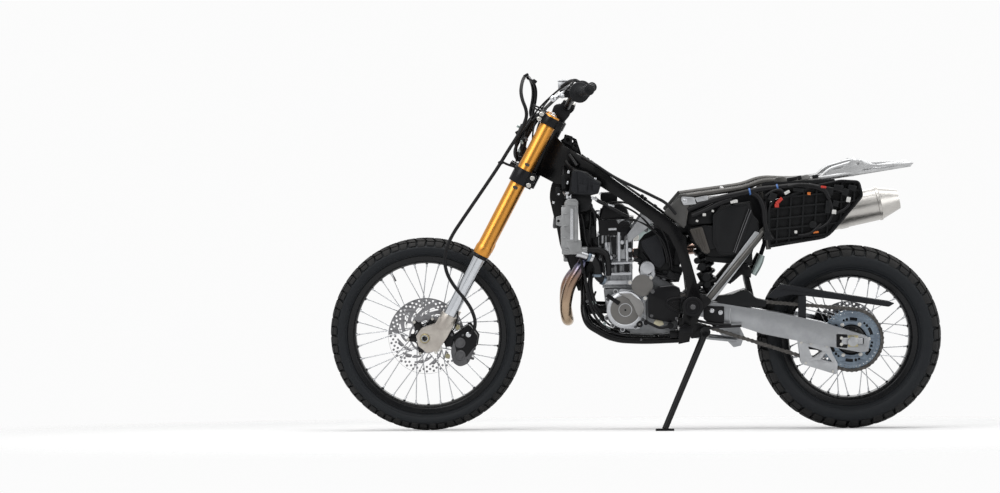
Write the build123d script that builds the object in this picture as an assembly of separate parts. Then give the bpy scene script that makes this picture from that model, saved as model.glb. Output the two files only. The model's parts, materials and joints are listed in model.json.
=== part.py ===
from build123d import *
import math
import os

# Dual sport motorcycle without its plastics, built upright in the "bike frame" and then leaned on its side stand.
# Bike frame, mm: front toward -X, left side toward -Y, +Z up, ground at Z 0, X 0 midway between the axles.
os.makedirs("parts", exist_ok=True)

# ---- driving dimensions -------------------------------------------------------------------------------------------
LEAN = 8.0                 # degrees, rest on the side stand
WHEELBASE = 1500.0
RAKE = 27.8                # degrees, steering axis from the vertical
TRIPLE_OFFSET = 22.0       # fork legs ahead of the steering axis
AXLE_OFFSET = 61.0         # front axle ahead of the steering axis
FIT = 0.05                 # radial running clearance
GAP = 1.0                  # side clearance of moving faces at pins

FRONT_TYRE = dict(radius=345.0, width=88.0, crown=50.0, bead=270.0, segments=48)
REAR_TYRE = dict(radius=328.0, width=124.0, crown=75.0, bead=230.0, segments=36)
KNOB_DEPTH, TYRE_WALL = 6.0, 7.0
KNOB_SHARE, KNOB_STAGGER = 0.66, 0.22      # of a tyre segment's half length
KNOB_START = 3.0                           # degrees round the crown, beside the middle
SHORT_KNOB, LONG_KNOB = 42.0, 54.0         # degrees round the crown that the knobs reach to
SHOULDER = 52.0                            # degrees round the crown at which the tread ends
FRONT_RIM = dict(inner=254.0, flange=281.0, width=56.0)
REAR_RIM = dict(inner=213.0, flange=241.0, width=74.0)
SPOKES = 36
SPOKE_R = 1.9

FORK_HALF = 104.0          # fork leg centre from the mid-plane
OUTER_R = 27.0
INNER_R = 22.5
OUTER_LOW, OUTER_HIGH = 352.0, 893.0      # along the steering axis from the axle
LOWER_CLAMP = (634.0, 688.0)
UPPER_CLAMP = (862.0, 893.0)
STEM_R = 15.0
FOOT_LOW, FOOT_HIGH = -42.0, 112.0
FRONT_AXLE_R = 12.5
FRONT_AXLE_BORE = 9.0
FRONT_DISC_R, DISC_T = 135.0, 5.0
FRONT_DISC_Y = -55.0

BAR_R = 11.0
GRIP_R = 16.5
BAR_HALF = 410.0
BAR_HEIGHT, BAR_BACK = 948.0, -9.0        # bar centre along and ahead of the steering axis

SPAR_OUT = 140.0           # outer face of the frame at the swingarm pivot
PIVOT = (190.0, 455.0)
PIVOT_R = 10.0
REAR_AXLE_R = 10.0
REAR_DISC_R = 120.0
REAR_DISC_Y = 66.0
CHAIN_Y = -88.0
CHAIN_PITCH = 15.875
FRONT_TEETH, REAR_TEETH = 14, 43
CHAIN_HALF_HEIGHT = 7.5
CHAIN_WIDTH = 20.0
COUNTERSHAFT = (101.0, 459.0)
RACK_BORE, RACK_BORE_R = (890.0, 44.0), 4.1        # rack bolt holes at the tail
TANK_BORE, TANK_BORE_R = (-232.0, 1030.0), 5.05    # tank stay hole above the spars
SHOCK_Y = 22.0
SHOCK_TOP, SHOCK_LOW = (224.0, 700.0), (266.0, 398.0)
STRUT_LOW, STRUT_HIGH = (240.0, 472.0), (440.0, 712.0)
HEAD_R = 31.0              # steering head tube
HEAD_JOINT_X = -236.0      # where the spars meet the steering head
PEG = (165.0, 380.0)
GENERATOR, IDLER = (-46.0, 441.0), (14.0, 526.0)   # round covers on the left of the engine
TAIL_RAIL = [(150, -96, 836), (372, -92, 866), (440, -88, 892), (560, -84, 886), (755, -78, 915), (958, -56, 946)]

CRANKCASE_HALF = 70.0
CRADLE_Y, CRADLE_R = 82.0, 13.0
STAND_PIVOT = (233.0, -146.0, 363.0)
STAND_AXIS_TILT = 16.1     # degrees, outer end of the stand's pivot bolt raised
STAND_FOOT_Y = -300.0
STAND_FOOT_X = 88.0

# ---- worked out from them -----------------------------------------------------------------------------------------
LEAN_COS = math.cos(math.radians(LEAN))
LEAN_TAN = math.tan(math.radians(LEAN))
RAKE_SIN, RAKE_COS = math.sin(math.radians(RAKE)), math.cos(math.radians(RAKE))


def axle_height(tyre):
    """Wheel centre height at which the leaned crown touches the ground."""
    return tyre["radius"] - tyre["crown"] + tyre["crown"] / LEAN_COS


FRONT_X, REAR_X = -WHEELBASE / 2, WHEELBASE / 2
FRONT_Z, REAR_Z = axle_height(FRONT_TYRE), axle_height(REAR_TYRE)
STEER = Plane(
    origin=(FRONT_X + AXLE_OFFSET * RAKE_COS, 0, FRONT_Z - AXLE_OFFSET * RAKE_SIN),
    x_dir=(-RAKE_COS, 0, RAKE_SIN),
    z_dir=(RAKE_SIN, 0, RAKE_COS),
)                          # local: x ahead of the steering axis, y to the left, z up the axis
STAND_TILT = math.radians(STAND_AXIS_TILT)
STAND = Plane(origin=STAND_PIVOT, x_dir=(1, 0, 0), z_dir=(0, -math.cos(STAND_TILT), math.sin(STAND_TILT)))
FRONT_PITCH_R = CHAIN_PITCH / 2 / math.sin(math.pi / FRONT_TEETH)
REAR_PITCH_R = CHAIN_PITCH / 2 / math.sin(math.pi / REAR_TEETH)


# ---- shape helpers ------------------------------------------------------------------------------------------------
def slab(points, y_low, y_high, corner=0.0, edge=0.0):
    """Prism of a side-view outline of (x, z) points between two lateral places."""
    face = make_face(Polyline(*points, close=True))
    if corner:
        face = fillet(face.vertices(), corner)
    base = Plane(origin=(0, y_low, 0), x_dir=(1, 0, 0), z_dir=(0, -1, 0))
    solid = extrude(base * face, amount=y_low - y_high)
    if edge:
        ends = solid.faces().filter_by(Axis.Y)
        solid = chamfer(ends.edges(), edge)
    return solid


def block(x, y, z, corner=0.0):
    """Box between (low, high) pairs, its edges rounded."""
    centre = ((x[0] + x[1]) / 2, (y[0] + y[1]) / 2, (z[0] + z[1]) / 2)
    solid = Pos(*centre) * Box(x[1] - x[0], y[1] - y[0], z[1] - z[0])
    return fillet(solid.edges(), corner) if corner else solid


def rod(start, end, radius, end_radius=None):
    """Round bar, or a cone, between two places."""
    axis = Vector(*end) - Vector(*start)
    plane = Plane(origin=start, z_dir=axis)
    align = (Align.CENTER, Align.CENTER, Align.MIN)
    if end_radius is None:
        return plane * Cylinder(radius, axis.length, align=align)
    return plane * Cone(radius, end_radius, axis.length, align=align)


def turned(centre, y_low, y_high, radius, bore=0.0):
    """Disc about a lateral axis at (x, z), with an optional hole."""
    solid = rod((centre[0], y_low, centre[1]), (centre[0], y_high, centre[1]), radius)
    if bore:
        solid -= rod((centre[0], y_low - 1, centre[1]), (centre[0], y_high + 1, centre[1]), bore)
    return solid


def bent(points, bends, radius, bore=0.0):
    """Tube along straight runs joined by arcs of the given radii."""
    path = FilletPolyline(*points, radius=bends)
    start = Plane(origin=path @ 0, z_dir=path % 0)
    section = Circle(radius) - Circle(bore) if bore else Circle(radius)
    return sweep(start * section, path=path)


def lathe(points, centre):
    """Solid of revolution about the wheel axis through centre (x, z); points are (radius, y)."""
    face = make_face(Polyline(*points, close=True))
    about = Plane(origin=(centre[0], 0, centre[1]), x_dir=(1, 0, 0), z_dir=(0, 0, 1))
    return revolve(about * face, axis=Axis((centre[0], 0, centre[1]), (0, 1, 0)))


def both(solid):
    """A left piece and its mirror image."""
    return solid + mirror(solid, about=Plane.XZ)


def around(solid, centre, count, start=0.0):
    """Copies of a piece about a wheel's axis through centre (x, z)."""
    place = Pos(centre[0], 0, centre[1])
    back = Pos(-centre[0], 0, -centre[1])
    return [place * Rot(0, start + i * 360 / count, 0) * back * solid for i in range(count)]


NODES = {}
MAIN_FRAME = ("steering_head", "left_spar", "right_spar", "frame_cross_members")
TAIL_FRAME = ("left_subframe_rail", "right_subframe_rail", "subframe_struts_and_ties")


def cut(solid, *names):
    """A solid less the nodes that it is fixed to, so that it seats on them."""
    for name in names:
        others = NODES[name]
        for other in others if isinstance(others, list) else [others]:
            solid = solid - other
    return solid


def steer(solid):
    return STEER * solid


def fork_place(up, ahead, left):
    """A place given along, ahead of and left of the steering axis, in the bike frame."""
    return tuple(STEER.from_local_coords(Vector(ahead, left, up)))


# ---- wheels -------------------------------------------------------------------------------------------------------
def tyre(size, rim, centre):
    """Tyre in straight segments, each with two tread knobs, open toward the rim."""
    count = size["segments"]
    segments = around(tyre_segment(size, rim, centre, SHORT_KNOB, LONG_KNOB), centre, count // 2)
    segments += around(tyre_segment(size, rim, centre, LONG_KNOB, SHORT_KNOB), centre, count // 2, 360 / count)
    return segments[0].fuse(*segments[1:])


def tyre_segment(size, rim, centre, left_knob, right_knob):
    """One wedge of the carcass with a knob on each side of the crown."""
    half, bead, crown = size["width"] / 2, size["bead"], size["crown"]
    middle, floor = size["radius"] - crown, crown - KNOB_DEPTH
    foot = rim["width"] / 2 - 3.0
    about = Plane(origin=(centre[0], 0, centre[1]), x_dir=(1, 0, 0), z_dir=(0, 0, 1))

    def on_crown(angle, reach):
        return (middle + reach * math.cos(math.radians(angle)), reach * math.sin(math.radians(angle)))

    shoulder = on_crown(SHOULDER, floor)
    wide = ((rim["flange"] + shoulder[0]) / 2, half)
    flange = rim["flange"] + 1.5
    outer = [(bead, foot - TYRE_WALL), (bead, foot), (flange, foot), wide, shoulder, (middle + floor, 0)]
    outline = outer + [(r, -y) for r, y in reversed(outer[:-1])] + [(middle + floor - TYRE_WALL, 0)]
    reach = size["radius"] * math.tan(math.pi / size["segments"])
    solid = extrude(about * make_face(Polyline(*outline, close=True)), amount=reach, both=True)
    tip = (centre[0] + 2 * size["radius"], 2 * reach)
    solid &= slab([centre, (tip[0], centre[1] - tip[1]), (tip[0], centre[1] + tip[1])], -half - 9, half + 9)
    for side, end, shift in ((1, left_knob, KNOB_STAGGER), (-1, right_knob, -KNOB_STAGGER)):
        top = [on_crown(KNOB_START, crown), on_crown(end, crown)]
        root = [on_crown(end - 3, floor - 3), on_crown(KNOB_START, floor - 3)]
        face = make_face(Polyline(*[(r, side * y) for r, y in top + root], close=True))
        solid += Pos(0, 0, shift * reach) * extrude(about * face, amount=KNOB_SHARE * reach, both=True)
    return solid


def rim(size, bead, centre):
    """Rim ring with a drop centre and two flanges."""
    half = size["width"] / 2
    lip = 3.0
    outline = [
        (size["inner"], -half * 0.45), (size["inner"] + 9, -half), (size["flange"], -half),
        (size["flange"], -half + lip), (bead, -half + lip), (bead - 2, -half * 0.35),
        (size["inner"] + 5, -half * 0.28),
    ]
    return lathe(outline + [(r, -y) for r, y in reversed(outline)], centre)


def spoke_set(centre, rim_size, flange_r, flange_y):
    """Crossed spokes from both hub flanges to the rim, in four families."""
    seat = rim_size["inner"] - 0.6
    families = ((-1, 1, 0.0), (-1, -1, 0.5), (1, 1, 0.25), (1, -1, 0.75))
    solids = []
    for side, hand, phase in families:
        for i in range(SPOKES // 4):
            at_rim = 2 * math.pi * (i + phase) / (SPOKES // 4)
            at_hub = at_rim + hand * math.radians(64)
            inner = (
                centre[0] + flange_r * math.cos(at_hub), side * flange_y + hand * 2.5,
                centre[1] + flange_r * math.sin(at_hub),
            )
            outer = (centre[0] + seat * math.cos(at_rim), side * 9.0, centre[1] + seat * math.sin(at_rim))
            solids.append(rod(inner, outer, SPOKE_R))
    return solids


def front_wheel():
    centre = (FRONT_X, FRONT_Z)
    barrel, flange_y, flange_r = 21.0, 36.0, 33.0
    hub = lathe(
        [
            (0, -49), (24, -49), (24, -flange_y - 5), (flange_r, -flange_y - 5), (flange_r, -flange_y),
            (barrel, -flange_y + 6), (barrel, flange_y - 6), (flange_r, flange_y), (flange_r, flange_y + 5),
            (24, flange_y + 5), (24, 49), (0, 49),
        ], centre,
    )
    carrier = turned(centre, FRONT_DISC_Y + DISC_T / 2, -flange_y - 5, 30)
    spider = around(block((centre[0], centre[0] + 58), (FRONT_DISC_Y + DISC_T / 2, -flange_y - 9),
                          (centre[1] - 7, centre[1] + 7)), centre, 6)
    hub = hub + carrier + spider
    hub -= turned(centre, -70, 70, FRONT_AXLE_R + FIT)
    NODES["front_hub"] = hub
    NODES["front_rim"] = rim(FRONT_RIM, FRONT_TYRE["bead"], centre)
    NODES["front_spokes"] = spoke_set(centre, FRONT_RIM, flange_r + 1.8, flange_y + 2.5)
    NODES["front_tyre"] = tyre(FRONT_TYRE, FRONT_RIM, centre)
    disc = turned(centre, FRONT_DISC_Y - DISC_T / 2, FRONT_DISC_Y + DISC_T / 2, FRONT_DISC_R, 47)
    hole = turned((centre[0] + 124, centre[1]), FRONT_DISC_Y - 9, FRONT_DISC_Y + 9, 3.4)
    disc -= around(hole, centre, 36)
    slot = slab([(centre[0] + 66, centre[1] - 9), (centre[0] + 88, centre[1] - 16), (centre[0] + 97, centre[1] + 4),
                 (centre[0] + 68, centre[1] + 8)], FRONT_DISC_Y - 9, FRONT_DISC_Y + 9, corner=4)
    NODES["front_brake_disc"] = disc - around(slot, centre, 12)


def rear_wheel():
    centre = (REAR_X, REAR_Z)
    flange_y, flange_r, barrel = 44.0, 52.0, 33.0
    carrier_y = CHAIN_Y + 3.5
    hub = lathe(
        [
            (0, carrier_y), (80, carrier_y), (80, carrier_y + 8), (45, carrier_y + 14), (45, -flange_y - 6),
            (flange_r, -flange_y - 6), (flange_r, -flange_y), (barrel, -flange_y + 8), (barrel, flange_y - 8),
            (flange_r, flange_y), (flange_r, flange_y + 6), (38, flange_y + 6), (38, REAR_DISC_Y - DISC_T / 2),
            (0, REAR_DISC_Y - DISC_T / 2),
        ], centre,
    )
    hub -= turned(centre, -100, 100, REAR_AXLE_R + FIT)
    NODES["rear_hub"] = hub
    NODES["rear_rim"] = rim(REAR_RIM, REAR_TYRE["bead"], centre)
    NODES["rear_spokes"] = spoke_set(centre, REAR_RIM, flange_r + 1.8, flange_y + 3)
    NODES["rear_tyre"] = tyre(REAR_TYRE, REAR_RIM, centre)
    disc = turned(centre, REAR_DISC_Y - DISC_T / 2, REAR_DISC_Y + DISC_T / 2, REAR_DISC_R, 28)
    hole = turned((centre[0] + 108, centre[1]), REAR_DISC_Y - 9, REAR_DISC_Y + 9, 4)
    window = slab([(centre[0] + 45, centre[1] - 11), (centre[0] + 78, centre[1] - 17), (centre[0] + 78, centre[1] + 17),
                   (centre[0] + 45, centre[1] + 11)], REAR_DISC_Y - 9, REAR_DISC_Y + 9, corner=5)
    NODES["rear_brake_disc"] = disc - around(hole, centre, 30) - around(window, centre, 6)
    tip = REAR_PITCH_R - CHAIN_HALF_HEIGHT - 0.8
    ring = turned(centre, CHAIN_Y - 3.5, CHAIN_Y + 3.5, tip, 58)
    long_slot = slab([(centre[0] + 84, centre[1] - 17), (centre[0] + 92, centre[1] - 17), (centre[0] + 92, centre[1] + 17),
                      (centre[0] + 84, centre[1] + 17)], CHAIN_Y - 9, CHAIN_Y + 9, corner=3.5)
    NODES["rear_sprocket"] = ring - around(long_slot, centre, 12)


# ---- fork and steering --------------------------------------------------------------------------------------------
def clamp_plate(low, high, wing, boss, depth):
    """Fork clamp in the steering frame: two bosses, a stem boss and the webs between them."""
    sketch = Pos(0, 0) * Circle(depth)
    for side in (-1, 1):
        at_leg = Pos(TRIPLE_OFFSET, side * FORK_HALF) * Circle(boss)
        web = Polyline((depth * 0.8, 0), (TRIPLE_OFFSET + wing, side * FORK_HALF),
                       (TRIPLE_OFFSET - wing, side * FORK_HALF), (-depth * 0.8, 0), close=True)
        sketch += at_leg + make_face(web)
    body = extrude(sketch, amount=high - low)
    body = Pos(0, 0, low) * body
    for side in (-1, 1):
        body -= Pos(TRIPLE_OFFSET, side * FORK_HALF, low - 1) * Cylinder(
            OUTER_R, high - low + 2, align=(Align.CENTER, Align.CENTER, Align.MIN))
    return body


def clamp_ears(low, high, boss):
    """Split lugs with their pinch bolts, behind each fork leg."""
    solids = []
    for side in (-1, 1):
        x_mid = TRIPLE_OFFSET - boss - 6
        y_mid = side * (FORK_HALF + 8)
        ear = Pos(x_mid, y_mid, (low + high) / 2) * Box(20, 26, high - low)
        solids.append(ear - Pos(TRIPLE_OFFSET, side * FORK_HALF, (low + high) / 2) * Cylinder(OUTER_R, high - low + 2))
    return solids


def fork():
    upright = (Align.CENTER, Align.CENTER, Align.MIN)
    upper = clamp_plate(*UPPER_CLAMP, wing=20, boss=34, depth=33) + clamp_ears(*UPPER_CLAMP, boss=32)
    upper -= Pos(0, 0, UPPER_CLAMP[0] - 1) * Cylinder(STEM_R, 60, align=upright)
    NODES["upper_clamp_and_risers"] = [steer(upper)]
    lower = clamp_plate(*LOWER_CLAMP, wing=18, boss=35, depth=36) + clamp_ears(*LOWER_CLAMP, boss=33)
    for side in (-1, 1):
        lower += Pos(56, side * 44, LOWER_CLAMP[1] - 8) * Box(46, 12, 16)
        lower += Pos(24, side * 44, LOWER_CLAMP[1] - 15) * Box(40, 12, 30)
    lower += Pos(0, 0, LOWER_CLAMP[1]) * Cylinder(STEM_R, UPPER_CLAMP[1] + 12 - LOWER_CLAMP[1], align=upright)
    nut = Pos(0, 0, UPPER_CLAMP[1]) * (extrude(RegularPolygon(20, 6), amount=9) - Cylinder(STEM_R, 60))
    NODES["lower_clamp_and_stem"] = [steer(lower), steer(nut)]
    outer, inner = [], []
    for side in (-1, 1):
        at = Pos(TRIPLE_OFFSET, side * FORK_HALF, 0)
        tube = Pos(0, 0, OUTER_LOW) * Cylinder(OUTER_R, OUTER_HIGH - OUTER_LOW, align=upright)
        tube += Pos(0, 0, OUTER_LOW) * Cylinder(30, 26, align=upright)
        tube += Pos(0, 0, OUTER_LOW + 26) * Cone(30, OUTER_R, 12, align=upright)
        tube += Pos(0, 0, OUTER_HIGH) * Cylinder(24.5, 6, align=upright)
        tube += Pos(0, 0, OUTER_HIGH + 6) * extrude(RegularPolygon(13, 6), amount=6)
        tube -= Pos(0, 0, OUTER_LOW - 1) * Cylinder(INNER_R + FIT, 90, align=upright)
        outer.append(steer(at * tube))
        inner.append(steer(at * Pos(0, 0, 60) * Cylinder(INNER_R, OUTER_LOW + 80 - 60, align=upright)))
    NODES["fork_outer_tubes"] = outer
    NODES["fork_inner_tubes"] = inner
    feet = []
    lead = AXLE_OFFSET
    for side in (-1, 1):
        outline = Polyline((TRIPLE_OFFSET - 29, FOOT_HIGH - 20), (TRIPLE_OFFSET - 29, 40), (TRIPLE_OFFSET - 22, FOOT_LOW + 24),
                           (lead - 30, FOOT_LOW), (lead + 8, FOOT_LOW + 8), (lead + 31, -6), (lead + 27, 24),
                           (TRIPLE_OFFSET + 30, 62), (TRIPLE_OFFSET + 29, FOOT_HIGH - 20), close=True)
        face = fillet(make_face(outline).vertices(), 6)
        plane = Plane(origin=(0, side * (FORK_HALF - 24), 0), x_dir=(1, 0, 0), z_dir=(0, side, 0))
        foot = extrude(plane * (face if side < 0 else mirror(face, about=Plane.XZ)), amount=48)
        foot += Pos(TRIPLE_OFFSET, side * FORK_HALF, FOOT_HIGH - 60) * Cylinder(29.5, 60, align=upright)
        foot -= Pos(TRIPLE_OFFSET, side * FORK_HALF, 60) * Cylinder(INNER_R, 80, align=upright)
        foot -= Pos(lead, 0, 0) * Rot(90, 0, 0) * Cylinder(FRONT_AXLE_R, 400)
        feet.append(steer(foot))
    NODES["fork_axle_clamps"] = feet
    centre = (FRONT_X, FRONT_Z)
    spacers = both(turned(centre, -79.8, -58.5, 20, FRONT_AXLE_R))
    NODES["front_axle"] = [turned(centre, -134, 134, FRONT_AXLE_R, FRONT_AXLE_BORE), spacers]


def controls():
    bar_mid = fork_place(BAR_HEIGHT, BAR_BACK, 0)
    riser_y = 46.0
    risers = []
    for side in (-1, 1):
        post = Pos(BAR_BACK + 2, side * riser_y, 0) * block((-14, 14), (-15, 15), (UPPER_CLAMP[1], BAR_HEIGHT), 4)
        ring = Pos(BAR_BACK, side * riser_y, BAR_HEIGHT) * Rot(90, 0, 0) * Cylinder(25, 32)
        risers.append(steer(post + ring - Pos(BAR_BACK, 0, BAR_HEIGHT) * Rot(90, 0, 0) * Cylinder(14, 400)))
    NODES["upper_clamp_and_risers"] += risers
    end = (-163.0, -BAR_HALF, 1216.0)
    knee = (-222.0, -228.0, 1199.0)
    hip = (bar_mid[0], -96.0, bar_mid[2])
    half = [end, knee, hip]
    points = half + [(x, -y, z) for x, y, z in reversed(half)]
    bar = bent(points, [130, 80, 80, 130], BAR_R)
    middle = rod((bar_mid[0], -72, bar_mid[2]), (bar_mid[0], 72, bar_mid[2]), 14)
    taper = rod((bar_mid[0], -71, bar_mid[2]), (bar_mid[0], -84, bar_mid[2]), 14, BAR_R + 0.5)
    bar = bar + middle + both(taper)
    NODES["handlebar"] = bar
    along = Vector(*knee) - Vector(*end)

    def on_bar(distance):
        """A place on the straight end of the left bar, measured inward from its end."""
        return tuple(Vector(*end) + along.normalized() * distance)

    hollow = rod(on_bar(-1), on_bar(along.length - 1), BAR_R)
    grip = rod(on_bar(4), on_bar(118), GRIP_R) + rod(on_bar(114), on_bar(120), 30)
    grip = grip + rod(on_bar(0), on_bar(5), 18) - hollow
    NODES["handlebar_grips"] = both(grip)
    switch = rod(on_bar(121), on_bar(146), 19) - hollow
    switch_box = Plane(origin=on_bar(133), z_dir=along) * Box(44, 34, 22)
    switches = both(switch + (switch_box - hollow))
    perch_at = on_bar(162)
    perch = rod(on_bar(150), on_bar(174), 18)
    arm = slab([(perch_at[0] - 46, perch_at[2] - 14), (perch_at[0] - 12, perch_at[2] - 14),
                (perch_at[0] - 12, perch_at[2] + 12), (perch_at[0] - 46, perch_at[2] + 6)],
               perch_at[1] - 9, perch_at[1] + 12, corner=5)
    perches = both(perch + arm) - bar
    blade = bent(
        [(perch_at[0] - 47, perch_at[1] - 2, perch_at[2] - 4), (perch_at[0] - 62, perch_at[1] - 42, perch_at[2] - 8),
         (perch_at[0] - 42, -396, perch_at[2] - 6)], 40, 5.5)
    ball = Pos(perch_at[0] - 42, -396, perch_at[2] - 6) * Sphere(8)
    NODES["hand_levers"] = both(blade + ball) - perches
    tank = block((perch_at[0] - 70, perch_at[0] - 34), (-perch_at[1] - 74, -perch_at[1] - 24),
                 (perch_at[2] + 4, perch_at[2] + 40), 4)
    neck = block((perch_at[0] - 66, perch_at[0] - 24), (-perch_at[1] - 70, -perch_at[1] - 12.3),
                 (perch_at[2] - 12, perch_at[2] + 4), 3)
    NODES["handlebar_controls"] = [switches, perches, tank + neck - perches - bar]
    return (perch_at[0] - 62, -perch_at[1] - 60, perch_at[2] - 4)




def front_brake():
    centre = (FRONT_X, FRONT_Z)

    def from_axle(*points):
        """Places given behind and above the front axle."""
        return [(centre[0] + x, centre[1] + z) for x, z in points]

    pad_room = 5.0             # half the slot for the disc and pads
    slot = (FRONT_DISC_Y - pad_room, FRONT_DISC_Y + pad_room)
    body_outline = from_axle((96, 4), (154, 46), (184, 4), (178, -28), (144, -72), (110, -62))
    body = slab(body_outline, -102, slot[0], corner=8, edge=3) + slab(body_outline, slot[1], -38, corner=8, edge=3)
    bridge_outline = from_axle((146, 46), (158, 48), (188, 4), (182, -30), (150, -74), (144, -72), (160, -16), (150, 14))
    bridge = slab(bridge_outline, slot[0] - 1, slot[1] + 1) - turned(centre, -120, 0, FRONT_DISC_R + 4)
    arm = slab(from_axle((50, -16), (110, -46), (114, 0), (56, 26)), -79.5, -66, corner=6)
    arm -= turned(centre, -120, 0, 40)
    NODES["front_caliper"] = body + bridge + arm
    hose_start = Vector(*BRAKE_HOSE_START)
    hose = [tuple(hose_start + Vector(*step)) for step in ((0, 0, 0), (-42, -20, 0), (-78, -68, 8), (-98, -128, 46))]
    hose += [(-392, -10, 1256), (-402, -72, 1240), (-406, -112, 1196), (-398, -122, 1120), (-428, -124, 1010),
             (-482, -128, 908), (-560, -130, 800), (-640, -126, 704), (-682, -110, 630), (-682, -86, 578)]
    hose += [(x, y, z) for (x, z), y in zip(from_axle((102, 174), (146, 124), (176, 80), (166, 28)),
                                            (-75, -75, -84, -90))]
    NODES["front_brake_hose"] = cut(bent(hose, corner_radii(hose), 3.6), "front_caliper", "handlebar_controls")


def corner_radii(points):
    """Arc radius at each inner point: 0.45 of the shorter run over the tangent of half the turn."""
    radii = []
    for before, at, after in zip(points, points[1:], points[2:]):
        a, b = Vector(*at) - Vector(*before), Vector(*after) - Vector(*at)
        turn = math.radians(a.get_angle(b))
        radii.append(0.45 * min(a.length, b.length) / math.tan(turn / 2))
    return radii


# ---- frame --------------------------------------------------------------------------------------------------------
def frame():
    side = slab(
        [
            (-300, 1062), (-256, 1016), (-158, 955), (-90, 905), (11, 833), (68, 792), (114, 758), (141, 731),
            (157, 704), (171, 657), (197, 566), (218, 488), (228, 452), (214, 418), (186, 372), (178, 330),
            (140, 322), (140, 360), (152, 410), (162, 440), (170, 489), (164, 542), (150, 596), (134, 650),
            (107, 704), (67, 738), (30, 768), (-69, 836), (-140, 880), (-332, 880), (-356, 906),
        ], -SPAR_OUT - 5, SPAR_OUT + 5)
    outer_plan = [(-380, 30), (-300, 36), (-150, 96), (0, 128), (90, SPAR_OUT - 3), (260, SPAR_OUT)]
    inner_plan = [(-236, 0), (-150, 52), (0, 96), (90, 107), (260, 110)]
    plan_points = outer_plan + [(x, y) for x, y in reversed(inner_plan)]
    plan = make_face(Polyline(*plan_points, (-380, 0), close=True))
    limb = extrude(Pos(0, 0, 250) * plan, amount=900) & side
    front = block((-420, HEAD_JOINT_X), (-200, 200), (700, 1200))
    upright = (Align.CENTER, Align.CENTER, Align.MIN)
    room = steer(Pos(0, 0, LOWER_CLAMP[1] - 60) * Cylinder(160, 60 + GAP, align=upright))
    roof = steer(Pos(0, 0, UPPER_CLAMP[0] - GAP) * Cylinder(160, 60, align=upright))
    stem_hole = steer(Pos(0, 0, LOWER_CLAMP[1] - 5) * Cylinder(STEM_R + FIT, 200, align=upright))
    head_length = UPPER_CLAMP[0] - LOWER_CLAMP[1] - 2 * GAP
    head = steer(Pos(0, 0, LOWER_CLAMP[1] + GAP) * Cylinder(HEAD_R, head_length, align=upright))
    tank_tab = slab([(-276, 1030), (-244, 1052), (-216, 1040), (-196, 976), (-262, 990)], -8, 8, corner=5)
    tank_tab -= turned(TANK_BORE, -20, 20, TANK_BORE_R)
    NODES["steering_head"] = both(limb & front) + head + tank_tab - stem_hole - room - roof
    spar = mirror(limb - front, about=Plane.XZ) + turned(PIVOT, -SPAR_OUT - 6, -SPAR_OUT + 30, 38)
    spar += slab([(196, 512), (240, 489), (257, 472), (240, 454), (205, 430)], -SPAR_OUT + 4, -SPAR_OUT + 12.7, corner=6)
    spar += turned(STRUT_LOW, -SPAR_OUT + 8, -SPAR_OUT + 29, 6)
    spar += rod((PEG[0], -SPAR_OUT - 12, PEG[1]), (PEG[0], -SPAR_OUT + 4, PEG[1]), 12)
    spar -= turned(PIVOT, -200, 200, PIVOT_R)
    spar -= NODES["steering_head"]
    stand_lug = STAND * (Pos(0, 0, -18) * Cylinder(18, 18 - GAP, align=upright)
                         + Pos(0, 0, -18) * Cylinder(6, 18 + 15, align=upright)
                         + Pos(0, 0, 14 + GAP) * Cylinder(11, 5, align=upright))
    stand_arm = slab([(184, 412), (222, 390), (238, 366), (224, 348), (182, 340)], -SPAR_OUT + 2, -SPAR_OUT + 20,
                     corner=6)
    stand_arm -= STAND * (Pos(0, 0, -GAP) * Cylinder(60, 60, align=upright))
    NODES["left_spar"] = spar + stand_lug + stand_arm
    NODES["right_spar"] = mirror(spar, about=Plane.XZ)
    cross = rod((150, -112, 654), (150, 112, 654), 14)
    cheek = [(138, 656), (150, 638), (226, 684), (238, 700), (226, 714), (206, 712)]
    cross += slab(cheek, SHOCK_Y - 19, SHOCK_Y - 12, corner=5) + slab(cheek, SHOCK_Y + 12, SHOCK_Y + 19, corner=5)
    low_cross = rod((156, -112, 352), (156, 112, 352), 14)
    NODES["frame_cross_members"] = [cut(tie, "left_spar", "right_spar") for tie in (cross, low_cross)]
    tube = slab([(-332, 880), (-313, 841), (-294, 780), (-249, 604), (-213, 500), (-170, 500),
                 (-204, 604), (-248, 780), (-262, 840), (-262, 880)], -28, 28, edge=6)
    rail = [(-196, -16, 560), (-190, -30, 490), (-192, -66, 430), (-178, -CRADLE_Y, 386), (-90, -CRADLE_Y, 334),
            (20, -CRADLE_Y, 328), (150, -CRADLE_Y - 6, 334), (170, -CRADLE_Y - 26, 350)]
    rails = both(bent(rail, corner_radii(rail), CRADLE_R))
    ties = rod((-100, -CRADLE_Y, 338), (-100, CRADLE_Y, 338), 9) + rod((64, -CRADLE_Y, 333), (64, CRADLE_Y, 333), 11)
    ties += block((52, 76), (-14, 14), (330, 352))
    ties += both(slab([(-204, 456), (-100, 452), (-98, 424), (-198, 420)], -66, -58, corner=6))
    ties += both(rod((-252, -61.9, 740), (-252, -20, 740), 6))
    NODES["down_tube_and_cradle"] = cut(tube + rails + ties - room, *MAIN_FRAME, "crankcase")


def rack_height(x):
    """Height of the tail rails' centre line between their last two points."""
    (x_low, _, z_low), (x_high, _, z_high) = TAIL_RAIL[-2:]
    return z_low + (z_high - z_low) * (x - x_low) / (x_high - x_low)


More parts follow.
